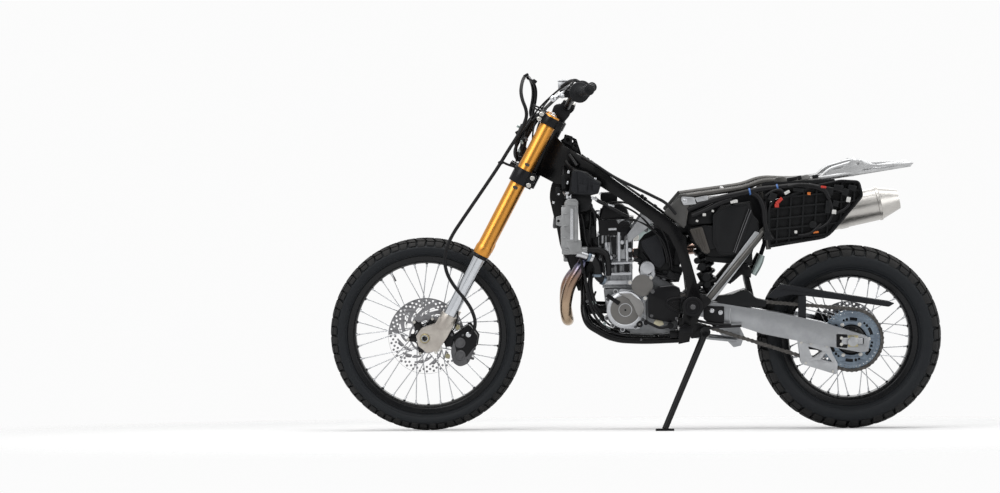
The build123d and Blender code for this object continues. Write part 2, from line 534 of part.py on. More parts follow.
def rear_frame():
    upper = [(640, -80, 900), (672, -80, 930), (770, -74, 958), (830, -70, 940)]
    drop = [(432, -88, 880), (452, -92, 720), (458, -94, 650)]
    rail = bent(TAIL_RAIL, corner_radii(TAIL_RAIL), 10) + bent(upper, corner_radii(upper), 7) + bent(drop, [200], 9)
    lug_z = rack_height(RACK_BORE[0])
    lug = block((RACK_BORE[0] - 14, RACK_BORE[0] + 14), (-60, -RACK_BORE[1] + 12), (lug_z - 4, lug_z + 4))
    lug -= Pos(RACK_BORE[0], -RACK_BORE[1], lug_z) * Cylinder(RACK_BORE_R, 30)
    NODES["left_subframe_rail"] = rail + lug
    NODES["right_subframe_rail"] = mirror(rail + lug, about=Plane.XZ)
    rails = ("left_subframe_rail", "right_subframe_rail")
    ties = [cut(rod((x, -y, z), (x, y, z), radius), *rails) for x, y, z, radius in
            ((300, 92, 856, 8), (560, 84, 886, 9), (755, 78, 915, 8), (955, 57, 945.5, 9), (770, 74, 957, 6))]
    plate = slab([(100, 792), (146, 846), (172, 846), (178, 800), (166, 730), (146, 745), (118, 768)], -107.4, -101,
                 corner=5)
    low_y, high_y = -SPAR_OUT + 20, -107
    strut = rod((STRUT_LOW[0], low_y, STRUT_LOW[1]), (STRUT_HIGH[0], high_y, STRUT_HIGH[1]), 10.5)
    strut += turned(STRUT_LOW, low_y - 7, low_y + 7, 15) + turned(STRUT_HIGH, high_y - 5, high_y + 6, 15)
    NODES["subframe_struts_and_ties"] = ties + [cut(both(piece), *MAIN_FRAME, *rails) for piece in (plate, strut)]


# ---- engine -------------------------------------------------------------------------------------------------------
def engine_case():
    half = CRANKCASE_HALF
    case = slab([(-122, 512), (-118, 470), (-105, 395), (-62, 352), (60, 346), (118, 352), (138, 372), (138, 500),
                 (110, 536), (62, 560), (10, 548), (-6, 514)], -half, half, corner=7, edge=4)
    case -= turned(PIVOT, -200, 200, 42)
    case += both(slab([(124, 492), (196, 480), (208, 455), (196, 430), (124, 418)], -58, -42, corner=8))
    case -= turned(PIVOT, -200, 200, PIVOT_R)
    NODES["crankcase"] = case


def engine():
    half, case = CRANKCASE_HALF, NODES["crankcase"]
    stator = turned(GENERATOR, -half - 40, -half, 66) + turned(GENERATOR, -half - 46, -half - 40, 54)
    stator += slab([(-112, 478), (-108, 420), (-60, 372), (4, 372), (26, 400), (26, 478), (0, 505), (-60, 512)],
                   -half - 22, -half, corner=10)
    idler = turned(IDLER, -half - 34, -half, 36) + turned(IDLER, -half - 40, -half - 34, 22)
    idler = idler - turned(GENERATOR, -200, 0, 66.2) - stator
    starter = rod((32, -half - 26, 584), (32, 40, 584), 25) + rod((32, -half - 34, 584), (32, -half - 26, 584), 18)
    NODES["starter_and_gear_cover"] = [idler, starter - case - idler]
    guard = slab([(34, 500), (70, 524), (126, 528), (147, 516), (147, 436), (136, 402), (110, 396), (34, 412)],
                 CHAIN_Y - 36, CHAIN_Y - 22, corner=9, edge=3)
    legs = [turned(p, CHAIN_Y - 22, -half, 7) for p in ((44, 492), (44, 424))]
    NODES["chain_guards"] = [guard + legs - stator - idler]
    shaft = turned(COUNTERSHAFT, CHAIN_Y - 12, -half, 11)
    wheel = turned(COUNTERSHAFT, CHAIN_Y - 4, CHAIN_Y + 4, FRONT_PITCH_R - CHAIN_HALF_HEIGHT - 0.5)
    NODES["front_sprocket"] = wheel + shaft
    clutch = turned((26, 428), half, half + 40, 74) + turned((-78, 470), half, half + 34, 36)
    clutch += slab([(-110, 500), (-106, 420), (-50, 366), (70, 358), (112, 400), (100, 500), (20, 520)], half, half + 22,
                   corner=10)
    clutch += turned((26, 428), half + 40, half + 46, 60)
    NODES["engine_side_covers"] = [stator, clutch]
    barrel = block((-119, -20), (-58, 58), (514, 612), 5)
    barrel -= case
    NODES["cylinder"] = barrel
    head = slab([(-142, 612), (-20, 612), (-16, 700), (-26, 756), (-128, 756), (-144, 690)], -66, 66, corner=6, edge=4)
    stay = slab([(-38, 704), (16, 776), (50, 790), (56, 764), (36, 730), (-34, 676)], -95, -89, corner=5)
    stay += turned((-28, 690), -90, -60, 9) + turned((42, 774), -104, -94, 9)
    NODES["cylinder_head"] = cut(head + both(stay), *MAIN_FRAME)
    cover = slab([(-140, 756), (-26, 756), (-40, 792), (-64, 812), (-122, 806)], -58, 58, corner=6, edge=4)
    NODES["cylinder_head_cover"] = cover
    coil = block((-132, -72), (-24, 24), (808, 848), 4) - cover
    throttle = rod((-17, 0, 700), (104, 0, 712), 27) + block((28, 92), (-46, 40), (672, 742), 6)
    throttle -= NODES["cylinder_head"]
    NODES["throttle_body"] = throttle
    sensor_outline = [(10, 682), (61, 702), (81, 682), (97, 608), (80, 583), (57, 591), (14, 662)]
    sensor = slab(sensor_outline, -88, -62, corner=5, edge=2)
    sensor += turned((62, 686), -62, -40, 8)
    NODES["electrical_parts"] = [coil, sensor - throttle - NODES["cylinder_head"]]


def cooling():
    for name, y, low, high in (("left_radiator", -1, 640, 826), ("right_radiator", 1, 596, 826)):
        core = block((-262, -218), (62, 158), (low + 22, high - 24))
        top = block((-256, -214), (64, 156), (high - 24, high), 5)
        bottom = block((-266, -212), (58, 158), (low, low + 22), 5)
        spout = rod((-214, 100, low + 12), (-178, 100, low + 12), 12)
        neck = rod((-236, 90, high - 2), (-236, 90, high + 12), 17)
        whole = core + top + bottom + spout
        if y > 0:
            whole += neck
        NODES[name] = whole if y > 0 else mirror(whole, about=Plane.XZ)
    lower = [(-178, -100, 652), (-140, -100, 652), (-112, -96, 640), (-104, -80, 600), (-104, -74, 560)]
    cross = [(-178, 100, 608), (-150, 98, 602), (-126, 94, 580), (-110, 88, 545), (-98, 84, 505)]
    joint = [(-214, 62, 806), (-196, 30, 830), (-196, -30, 830), (-214, -62, 806)]
    hoses = [bent(p, corner_radii(p), r) for p, r in ((lower, 11), (cross, 11), (joint, 9))]
    ends = ("left_radiator", "right_radiator", "cylinder", "engine_side_covers")
    NODES["hoses_and_cables"] = [cut(hose, *ends) for hose in hoses]


def exhaust():
    header = [(-140, -20, 664), (-168, -44, 650), (-204, -68, 588), (-244, -72, 520), (-258, -70, 450), (-252, -48, 402),
              (-248, 0, 392), (-254, 48, 404), (-262, 78, 450), (-258, 104, 514), (-222, 132, 562), (-150, 150, 588)]
    mid = [(-150, 150, 588), (-40, 166, 610), (120, 180, 626), (300, 184, 642), (420, 168, 690), (520, 142, 716)]
    start, end = (520, 142, 716), (950, 142, 812)
    axis = (Vector(*end) - Vector(*start)).normalized()

    def at(distance):
        return tuple(Vector(*start) + axis * distance)

    total = (Vector(*end) - Vector(*start)).length
    can = rod(start, at(70), 24, 58) + rod(at(70), at(total - 40), 59) + rod(at(total - 40), at(total), 59, 50)
    can -= rod(at(total - 60), at(total + 5), 21)
    pipe = bent(header, corner_radii(header), 20.5) + bent(mid, corner_radii(mid), 22)
    NODES["exhaust_pipe"] = pipe - NODES["cylinder_head"] - can
    strap = rod(at(205), at(235), 62) - rod(at(200), at(240), 59)
    tab = slab([(728, 760), (752, 760), (740, 908), (722, 908)], 76, 84)
    NODES["muffler_and_bracket"] = [can, cut(strap + (tab - rod(at(190), at(250), 60)), *TAIL_FRAME)]


# ---- rear suspension ----------------------------------------------------------------------------------------------
def swingarm():
    arm = slab([(176, 492), (258, 466), (319, 456), (494, 428), (641, 396), (794, 348), (812, 336), (806, 292),
                (780, 288), (677, 308), (606, 320), (436, 353), (308, 395), (214, 416), (176, 418)], -SPAR_OUT, 0)
    outer = [(150, -106), (330, -106), (480, -112), (700, -128), (815, -128)]
    inner = [(150, -62), (420, -70), (560, -78), (690, -100), (815, -100)]
    plan = make_face(Polyline(*outer, *reversed(inner), close=True))
    limb = extrude(Pos(0, 0, 200) * plan, amount=400) & arm
    arms = both(limb)
    bridge = slab([(300, 472), (398, 450), (398, 368), (330, 378), (292, 410)], -74, 74, corner=10)
    arms = arms + bridge
    window = [(700, REAR_Z - 12), (790, REAR_Z - 12), (790, REAR_Z + 12), (700, REAR_Z + 12)]
    arms -= both(slab(window, -160, -90, corner=6))
    arms -= turned(PIVOT, -200, 200, PIVOT_R)
    arms -= block((150, 292), (-61.5, 61.5), (300, 500))
    band = chain_band(4.0)
    NODES["swingarm"] = arms - band
    blocks = both(block((712, 786), (-134, -96), (REAR_Z - 11.7, REAR_Z + 11.7), 2))
    blocks -= turned((REAR_X, REAR_Z), -200, 200, REAR_AXLE_R)
    centre = (REAR_X, REAR_Z)
    axle = turned(centre, -146, 146, REAR_AXLE_R) + both(turned(centre, -146, -134.3, 17))
    axle += turned(centre, -96, CHAIN_Y + 2.5, 19) + turned(centre, REAR_DISC_Y - 1.5, 96, 17)
    NODES["rear_axle_and_adjusters"] = [axle, blocks]
    pin = turned(PIVOT, -SPAR_OUT - 12, SPAR_OUT + 12, PIVOT_R)
    pin += both(turned(PIVOT, -SPAR_OUT - 16, -SPAR_OUT - 6, 16))
    NODES["swingarm_pivot_bolt"] = pin


def chain_loop_points():
    """Tangent points of the chain line on both sprockets, upper run then lower run."""
    dx, dz = REAR_X - COUNTERSHAFT[0], REAR_Z - COUNTERSHAFT[1]
    span = math.hypot(dx, dz)
    base = math.atan2(dz, dx)
    spread = math.acos((FRONT_PITCH_R - REAR_PITCH_R) / span)
    points = []
    for sign in (1, -1):
        angle = base + sign * spread
        unit = (math.cos(angle), math.sin(angle))
        points.append((COUNTERSHAFT[0] + FRONT_PITCH_R * unit[0], COUNTERSHAFT[1] + FRONT_PITCH_R * unit[1]))
        points.append((REAR_X + REAR_PITCH_R * unit[0], REAR_Z + REAR_PITCH_R * unit[1]))
    return points


def chain_outline(grow):
    """Closed face round the chain line, grown outward by the given amount."""
    upper_a, upper_b, lower_a, lower_b = chain_loop_points()
    rear_back = (REAR_X + REAR_PITCH_R, REAR_Z - 8)
    front_nose = (COUNTERSHAFT[0] - FRONT_PITCH_R, COUNTERSHAFT[1])
    reach = math.hypot(rear_back[0] - REAR_X, rear_back[1] - REAR_Z)
    rear_back = (REAR_X + (rear_back[0] - REAR_X) * REAR_PITCH_R / reach,
                 REAR_Z + (rear_back[1] - REAR_Z) * REAR_PITCH_R / reach)
    wire = Wire([
        Line(upper_a, upper_b), ThreePointArc(upper_b, rear_back, lower_b), Line(lower_b, lower_a),
        ThreePointArc(lower_a, front_nose, upper_a),
    ])
    return offset(make_face(wire), amount=grow)


def chain_band(margin):
    """The chain's loop as one band, or a larger band that leaves room round it."""
    width = CHAIN_WIDTH + 2 * margin
    face = chain_outline(CHAIN_HALF_HEIGHT + margin) - chain_outline(-CHAIN_HALF_HEIGHT - margin)
    base = Plane(origin=(0, CHAIN_Y - width / 2, 0), x_dir=(1, 0, 0), z_dir=(0, -1, 0))
    return extrude(base * face, amount=-width)


def drive():
    NODES["chain"] = chain_band(0.0)
    guard = slab([(448, 482), (499, 529), (616, 508), (884, 464), (900, 459), (880, 446), (705, 472), (540, 492),
                  (480, 478)], CHAIN_Y - 22, CHAIN_Y - 14, corner=5)
    blade = [(499, 528), (616, 507), (884, 463), (884, 457), (616, 501), (499, 522)]
    guard += slab(blade, CHAIN_Y - 16, CHAIN_Y + 14)
    foot = block((560, 590), (CHAIN_Y - 26, CHAIN_Y - 14), (404, 486))
    guard = guard + foot - NODES["swingarm"]
    outline = [(560, 334), (670, 318), (681, 282), (701, 246), (697, 207), (571, 246)]
    guide = slab(outline, CHAIN_Y - 22, CHAIN_Y - 13, corner=7)
    guide += slab(outline, CHAIN_Y + 13, CHAIN_Y + 22, corner=7)
    guide += [turned(p, CHAIN_Y - 13, CHAIN_Y + 13, 4) for p in ((588, 249), (684, 219))]
    NODES["chain_guards"] += [guard, guide - NODES["swingarm"]]


def shock():
    top, low = (SHOCK_TOP[0], SHOCK_Y, SHOCK_TOP[1]), (SHOCK_LOW[0], SHOCK_Y, SHOCK_LOW[1])
    axis = (Vector(*low) - Vector(*top)).normalized()
    length = (Vector(*low) - Vector(*top)).length

    def at(distance):
        return tuple(Vector(*top) + axis * distance)

    body = rod(at(12), at(40), 11) + rod(at(36), at(96), 24) + rod(at(60), at(66), 36)
    body += rod(at(96), at(196), 21) + rod(at(196), at(length), 9)
    body += rod(at(length - 44), at(length - 36), 33) + rod(at(length - 36), at(length - 12), 15)
    body += turned(SHOCK_TOP, SHOCK_Y - 11.7, SHOCK_Y + 11.7, 15)
    body += turned(SHOCK_LOW, SHOCK_Y - 11.7, SHOCK_Y + 11.7, 15)
    NODES["shock_absorber"] = body
    NODES["shock_spring"] = rod(at(66.2), at(length - 44.2), 34) - rod(at(60), at(length - 30), 24.5)
    knuckle = [(250, 400), (264, 416), (284, 404), (330, 374), (362, 366), (378, 332), (366, 298), (340, 292), (262, 372)]
    link = slab(knuckle, SHOCK_Y - 22, SHOCK_Y - 12, corner=5) + slab(knuckle, SHOCK_Y + 12, SHOCK_Y + 22, corner=5)
    link += turned((350, 318), SHOCK_Y - 34, SHOCK_Y + 34, 10) + turned(SHOCK_LOW, SHOCK_Y - 24, SHOCK_Y + 24, 6)
    for y in (SHOCK_Y - 31, SHOCK_Y + 31):
        link += rod((350, y, 318), (160, y, 338), 7)
    NODES["suspension_linkage"] = cut(link - body, "swingarm", *MAIN_FRAME)


def intake():
    box = slab([(260, 768), (294, 804), (397, 819), (401, 781), (419, 752), (414, 714), (343, 631), (280, 638)],
               -90, 90, corner=9, edge=5)
    boot = [(100, -2, 712), (150, -16, 716), (200, -40, 722), (268, -46, 722)]
    funnel = bent(boot, corner_radii(boot), 25)
    cover = slab([(182, 725), (236, 736), (270, 732), (274, 652), (225, 639), (187, 680)], -96, -72, corner=5, edge=3)
    whole = cut(box + funnel + cover, "throttle_body", "shock_absorber", *MAIN_FRAME)
    stay = rod((330, -86, 812), (330, -92, 858), 6)
    NODES["airbox"] = cut(whole + both(stay), *TAIL_FRAME, *MAIN_FRAME)


def tail():
    outline = [(458, 661), (525, 672), (662, 694), (784, 838), (771, 888), (707, 892), (616, 873), (458, 814)]
    face = make_face(Polyline(*outline, close=True))
    back, front = -96.0, -118.0
    inner = offset(face, amount=-7)
    plane = Plane(origin=(0, back, 0), x_dir=(1, 0, 0), z_dir=(0, -1, 0))
    wall = extrude(plane * (face - inner), amount=back - front)
    floor = extrude(plane * face, amount=4)
    ribs = [slab([(x, 650), (x + 6, 650), (x + 18, 900), (x + 12, 900)], front + 4, back) for x in range(480, 760, 44)]
    rails = [slab([(440, z), (800, z + 34), (800, z + 40), (440, z + 6)], front + 2, back) for z in range(680, 860, 36)]
    grid = (Part() + ribs + rails) & extrude(plane * inner, amount=back - front)
    lug = turned((650, 883), -97, -70, 8)
    NODES["tail_tray"] = cut(wall + floor + grid + lug, *TAIL_FRAME)
    modules = [(470, 560, 700, 790), (590, 680, 760, 850)]
    packs = [block((a, b), (-92, -40), (c, d), 5) for a, b, c, d in modules]
    packs = [p + turned(((m[0] + m[1]) / 2, (m[2] + m[3]) / 2), -96, -90, 10) for p, m in zip(packs, modules)]
    canister = slab([(-228, 938), (-178, 927), (-143, 900), (-126, 890), (-138, 852), (-167, 845), (-242, 850)],
                    -152, -106, corner=7, edge=4)
    canister += turned((-168, 886), -110, -80, 10)
    NODES["electrical_parts"] += packs + [cut(canister, *MAIN_FRAME)]
    sheet = slab([(404, 452), (384, 529), (371, 612), (364, 610), (377, 527), (396, 450)], -62, 62)
    floor_flap = slab([(302, 474), (378, 499), (398, 495), (404, 470), (392, 462), (304, 470)], -60, 60)
    NODES["inner_mud_flap"] = cut(sheet + floor_flap, "swingarm", "shock_spring", "shock_absorber")


def foot_controls():
    shift = [(112, -136, 387), (78, -148, 378), (25, -158, 404)]
    lever = rod((112, -CRANKCASE_HALF, 387), (112, -142, 387), 6) + bent(shift, corner_radii(shift), 5)
    lever += rod((25, -154, 404), (25, -196, 404), 8) + turned((112, 387), -142, -130, 11)
    pedal_path = [(168, 152, 345), (110, 154, 336), (36, 152, 362)]
    pedal = bent(pedal_path, corner_radii(pedal_path), 7) + block((14, 52), (136, 168), (362, 370))
    pedal += turned((168, 345), SPAR_OUT - 5, 160, 11)
    NODES["foot_controls"] = [lever - NODES["crankcase"], cut(pedal, *MAIN_FRAME)]
    frame_out = block((143, 187), (-224, -156), (372, 388))
    window = block((149, 181), (-218, -162), (360, 400))
    peg = frame_out - window
    peg += [block((149, 181), (y - 2.5, y + 2.5), (372, 388)) for y in (-176, -190, -204)]
    peg += turned(PEG, -164, -SPAR_OUT - 12, 13)
    NODES["foot_controls"].append(cut(both(peg), *MAIN_FRAME))


def rear_brake():
    centre = (REAR_X, REAR_Z)
    polar = [(REAR_DISC_R + 20, 138), (REAR_DISC_R - 36, 138), (REAR_DISC_R - 36, 172), (REAR_DISC_R + 20, 172)]
    outline = [(centre[0] + r * math.cos(math.radians(a)), centre[1] + r * math.sin(math.radians(a))) for r, a in polar]
    slot = (REAR_DISC_Y - 5, REAR_DISC_Y + 5)
    body = slab(outline, slot[1], 86, corner=7, edge=3) + slab(outline, 50, slot[0], corner=7, edge=3)
    bridge = slab(outline, slot[0] - 1, slot[1] + 1) - turned(centre, 0, 120, REAR_DISC_R + 4)
    plate = slab([(676, 384), (700, 372), (752, 362), (784, 330), (752, 296), (716, 308), (672, 344)],
                 slot[1] + 4, slot[1] + 11, corner=6)
    plate -= turned(centre, 0, 120, 17)
    bottle = rod((404, 80, 552), (440, 80, 618), 15)
    hook = slab([(432, 612), (446, 606), (466, 668), (452, 672)], 81, 85.4)
    NODES["rear_brake"] = [cut(body + bridge + plate, "swingarm") - NODES["rear_axle_and_adjusters"][1],
                           cut(bottle + hook, *TAIL_FRAME)]


def side_stand():
    upright = (Align.CENTER, Align.CENTER, Align.MIN)
    sole = (STAND_FOOT_X, STAND_FOOT_Y, -STAND_FOOT_Y * LEAN_TAN)
    floor = Plane(origin=sole, x_dir=(1, 0, 0), z_dir=(0, math.sin(math.radians(LEAN)), LEAN_COS))
    pad = floor * (extrude(fillet(Rectangle(64, 44).vertices(), 14), amount=8))
    head = STAND * Cylinder(18, 14, align=upright)
    start = STAND.from_local_coords(Vector(0, 0, 7))
    heel = floor.from_local_coords(Vector(0, 0, 6))
    leg = rod(tuple(start), tuple(heel), 12, 10.5)
    stand = head + leg + pad - floor * (Pos(0, 0, -60) * Box(300, 300, 120))
    stand -= STAND * (Pos(0, 0, -10) * Cylinder(6 + FIT, 40, align=upright))
    stand -= STAND * (Pos(0, 0, 14) * Cylinder(20, 20, align=upright))
    stand -= STAND * (Pos(0, 0, -40) * Cylinder(30, 40, align=upright))
    NODES["side_stand"] = stand


def cables():
    loom = [(-206, -64, 980), (-158, -104, 958), (-85, -118, 908), (20, -138, 858), (100, -144, 818), (132, -130, 778)]
    NODES["hoses_and_cables"].append(cut(bent(loom, corner_radii(loom), 5.5), *MAIN_FRAME))


front_wheel()
rear_wheel()
fork()
BRAKE_HOSE_START = controls()
front_brake()
engine_case()
frame()
engine()
rear_frame()
cooling()
exhaust()
swingarm()
drive()
shock()
intake()
tail()
foot_controls()
rear_brake()
side_stand()
cables()

leaned = {}
for name, shape in NODES.items():
    solids = shape if isinstance(shape, list) else [shape]
    leaned[name] = [Rot(LEAN, 0, 0) * solid for solid in solids]
boxes = [solid.bounding_box() for solids in leaned.values() for solid in solids]
shift_x = -(min(box.min.X for box in boxes) + max(box.max.X for box in boxes)) / 2
shift_y = -(min(box.min.Y for box in boxes) + max(box.max.Y for box in boxes)) / 2
print("shift", round(shift_x, 3), round(shift_y, 3), "bottom", round(min(box.min.Z for box in boxes), 3))
for name, solids in leaned.items():
    placed = [Pos(shift_x, shift_y, 0) * solid for solid in solids]
    export_step(Compound(children=placed) if len(placed) > 1 else placed[0], f"parts/{name}.step")
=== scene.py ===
import json
import math

import bmesh
import bpy
from mathutils import Matrix, Vector

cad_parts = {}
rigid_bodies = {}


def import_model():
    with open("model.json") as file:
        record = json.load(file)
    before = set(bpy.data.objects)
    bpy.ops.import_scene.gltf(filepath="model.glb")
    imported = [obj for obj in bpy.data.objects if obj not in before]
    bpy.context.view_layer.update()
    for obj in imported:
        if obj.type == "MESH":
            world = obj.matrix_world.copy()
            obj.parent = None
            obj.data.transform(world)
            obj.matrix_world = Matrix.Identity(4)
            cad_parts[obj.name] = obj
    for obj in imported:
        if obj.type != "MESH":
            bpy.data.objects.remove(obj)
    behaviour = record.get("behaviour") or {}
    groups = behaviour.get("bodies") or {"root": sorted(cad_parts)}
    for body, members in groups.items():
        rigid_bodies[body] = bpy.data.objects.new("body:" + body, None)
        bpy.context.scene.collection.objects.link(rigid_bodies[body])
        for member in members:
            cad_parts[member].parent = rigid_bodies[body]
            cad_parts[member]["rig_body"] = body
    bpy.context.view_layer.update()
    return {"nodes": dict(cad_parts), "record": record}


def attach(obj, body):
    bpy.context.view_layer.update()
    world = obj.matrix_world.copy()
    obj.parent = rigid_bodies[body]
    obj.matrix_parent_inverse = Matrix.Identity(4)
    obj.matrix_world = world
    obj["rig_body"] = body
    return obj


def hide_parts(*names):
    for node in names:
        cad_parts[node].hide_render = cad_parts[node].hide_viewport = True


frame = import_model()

# Shapes are written upright in millimetres, front toward -X, left side toward -Y, ground at Z 0,
# and are then leaned on the side stand by TO_ROW, which also turns millimetres into metres.
LEAN = math.radians(8.0)
MOUNTS = {m["name"]: Vector(m["pos_m"]) for m in frame["record"]["mounts"]}
FRONT = Vector((-750.0, 0.0, 345.491))
REAR = Vector((750.0, 0.0, 328.737))
TURN = Matrix.Rotation(LEAN, 4, "X")
SHIFT = MOUNTS["front_axle_bore"] - TURN @ (FRONT * 0.001)
TO_ROW = Matrix.Translation(SHIFT) @ TURN @ Matrix.Scale(0.001, 4)

RAKE = math.radians(27.8)
STEER_FOOT = FRONT + Vector((61.0 * math.cos(RAKE), 0.0, -61.0 * math.sin(RAKE)))
STEER_UP = Vector((math.sin(RAKE), 0.0, math.cos(RAKE)))
STEER_AHEAD = Vector((-math.cos(RAKE), 0.0, math.sin(RAKE)))
LEFT = Vector((0.0, -1.0, 0.0))
LEG_Y, LEG_AHEAD = 104, 22
WHEEL_UP = (1, 0, 0)
UP = (0.0, 0.0, 1.0)


def fork_point(up, ahead, left=0.0):
    """A place along, ahead of and left of the steering axis."""
    return STEER_FOOT + STEER_UP * up + STEER_AHEAD * ahead + LEFT * left


# ---- node groups and materials -------------------------------------------------------------------------------
def node(tree, kind, links=None, **props):
    """A node with its properties set and its sockets linked or given values."""
    made = tree.nodes.new(kind)
    for name, value in props.items():
        setattr(made, name, value)
    for name, value in (links or {}).items():
        socket = made.inputs[name]
        if isinstance(value, bpy.types.NodeSocket):
            tree.links.new(value, socket)
        else:
            socket.default_value = value
    return made


def group(name, inputs, outputs):
    """An empty node group: inputs as (label, default), a tuple standing for a vector, and outputs as values."""
    tree = bpy.data.node_groups.new(name, "ShaderNodeTree")
    for label, value in inputs:
        kind = "NodeSocketVector" if isinstance(value, tuple) else "NodeSocketFloat"
        tree.interface.new_socket(label, in_out="INPUT", socket_type=kind).default_value = value
    for label in outputs:
        tree.interface.new_socket(label, in_out="OUTPUT", socket_type="NodeSocketFloat")
    return tree, tree.nodes.new("NodeGroupInput").outputs, tree.nodes.new("NodeGroupOutput")


def math_node(tree, operation, first, second=0.0, third=0.0, clamp=False):
    """Output of a sum on up to three values."""
    links = {0: first, 1: second, 2: third}
    return node(tree, "ShaderNodeMath", links, operation=operation, use_clamp=clamp).outputs[0]


def vector_node(tree, operation, first, second=None):
    """Output of a vector sum: its length or dot product as a value, or else a vector."""
    links = {0: first}
    if second is not None:
        links["Scale" if operation == "SCALE" else 1] = second
    made = node(tree, "ShaderNodeVectorMath", links, operation=operation)
    return made.outputs["Value" if operation in ("LENGTH", "DOT_PRODUCT") else 0]


def object_place(tree):
    """The shaded place in its object's own frame."""
    return node(tree, "ShaderNodeTexCoord").outputs["Object"]


def ramp(tree, value, low, high):
    """A value from 0 to 1 between two marks."""
    return node(tree, "ShaderNodeMapRange", {"Value": value, "From Min": low, "From Max": high}).outputs[0]


def noise(tree, vector, scale, detail=3.0, rough=0.5):
    """Cloudy values over a place."""
    links = {"Vector": vector, "Scale": scale, "Detail": detail, "Roughness": rough}
    return node(tree, "ShaderNodeTexNoise", links).outputs["Fac"]


def build_groups():
    """The surface effects that every finish is put together from."""
    groups = {}
    tree, given, out = group("Surface grain", [("Grain Scale", 900.0), ("Patch Scale", 22.0)], ["Grain", "Patches"])
    place = object_place(tree)
    fine = noise(tree, place, given["Grain Scale"], 2.0, 0.6)
    soft = noise(tree, place, given["Patch Scale"], 4.0, 0.55)
    tree.links.new(fine, out.inputs["Grain"])
    tree.links.new(ramp(tree, soft, 0.35, 0.65), out.inputs["Patches"])
    groups["grain"] = tree

    tree, given, out = group("Brushed lines", [("Along", (1.0, 0.0, 0.0)), ("Density", 2600.0)], ["Lines"])
    place = object_place(tree)
    along = vector_node(tree, "DOT_PRODUCT", place, given["Along"])
    shift = vector_node(tree, "SCALE", given["Along"], along)
    across = vector_node(tree, "SUBTRACT", place, shift)
    squeezed = vector_node(tree, "ADD", across, vector_node(tree, "SCALE", shift, 0.03))
    tree.links.new(noise(tree, squeezed, given["Density"], 2.0, 0.7), out.inputs["Lines"])
    groups["brushed"] = tree

    inputs = [("Centre", (0.0, 0.0, 0.0)), ("Axis", (0.0, 1.0, 0.0)), ("Density", 2400.0)]
    tree, given, out = group("Turned rings", inputs, ["Rings", "Radius"])
    local = vector_node(tree, "SUBTRACT", object_place(tree), given["Centre"])
    along = vector_node(tree, "DOT_PRODUCT", local, given["Axis"])
    flat = vector_node(tree, "SUBTRACT", local, vector_node(tree, "SCALE", given["Axis"], along))
    radius = vector_node(tree, "LENGTH", flat)
    line = node(tree, "ShaderNodeTexNoise", {"W": radius, "Scale": given["Density"], "Detail": 2.0},
        noise_dimensions="1D")
    tree.links.new(line.outputs["Fac"], out.inputs["Rings"])
    tree.links.new(radius, out.inputs["Radius"])
    groups["turned"] = tree

    tree, given, out = group("Edge wear", [("Amount", 0.5), ("Breakup", 160.0)], ["Mask"])
    edge = ramp(tree, node(tree, "ShaderNodeNewGeometry").outputs["Pointiness"], 0.515, 0.60)
    broken = ramp(tree, noise(tree, object_place(tree), given["Breakup"], 4.0, 0.6), 0.42, 0.62)
    mask = math_node(tree, "MULTIPLY", math_node(tree, "MULTIPLY", edge, broken), given["Amount"], clamp=True)
    tree.links.new(mask, out.inputs["Mask"])
    groups["wear"] = tree

    tree, given, out = group("Settled dust", [("Amount", 0.2), ("Patch Scale", 30.0)], ["Mask"])
    coords = node(tree, "ShaderNodeTexCoord")
    facing = ramp(tree, node(tree, "ShaderNodeSeparateXYZ", {0: coords.outputs["Normal"]}).outputs["Z"], 0.2, 1.0)
    cloud = ramp(tree, noise(tree, coords.outputs["Object"], given["Patch Scale"], 6.0, 0.62), 0.35, 0.75)
    mask = math_node(tree, "MULTIPLY", math_node(tree, "MULTIPLY", facing, cloud), given["Amount"], clamp=True)
    tree.links.new(mask, out.inputs["Mask"])
    groups["dust"] = tree
    return groups


GROUPS = build_groups()
DUST_COLOUR = (0.30, 0.27, 0.23, 1.0)


def use(tree, name, **values):
    """Outputs of one of the surface effects."""
    made = node(tree, "ShaderNodeGroup", node_tree=GROUPS[name])
    for label, value in values.items():
        made.inputs[label.replace("_", " ")].default_value = value
    return made.outputs


def mix(tree, factor, first, second, blend="MIX"):
    """A colour blended from two; sockets 6 and 7 are the node's colour inputs."""
    links = {"Factor": factor, 6: first, 7: second}
    return node(tree, "ShaderNodeMix", links, data_type="RGBA", blend_type=blend).outputs[2]


def empty_material(name):
    """A material with no nodes yet, and its tree."""
    made = bpy.data.materials.new(name)
    made.use_nodes = True
    made.node_tree.nodes.clear()
    return made, made.node_tree


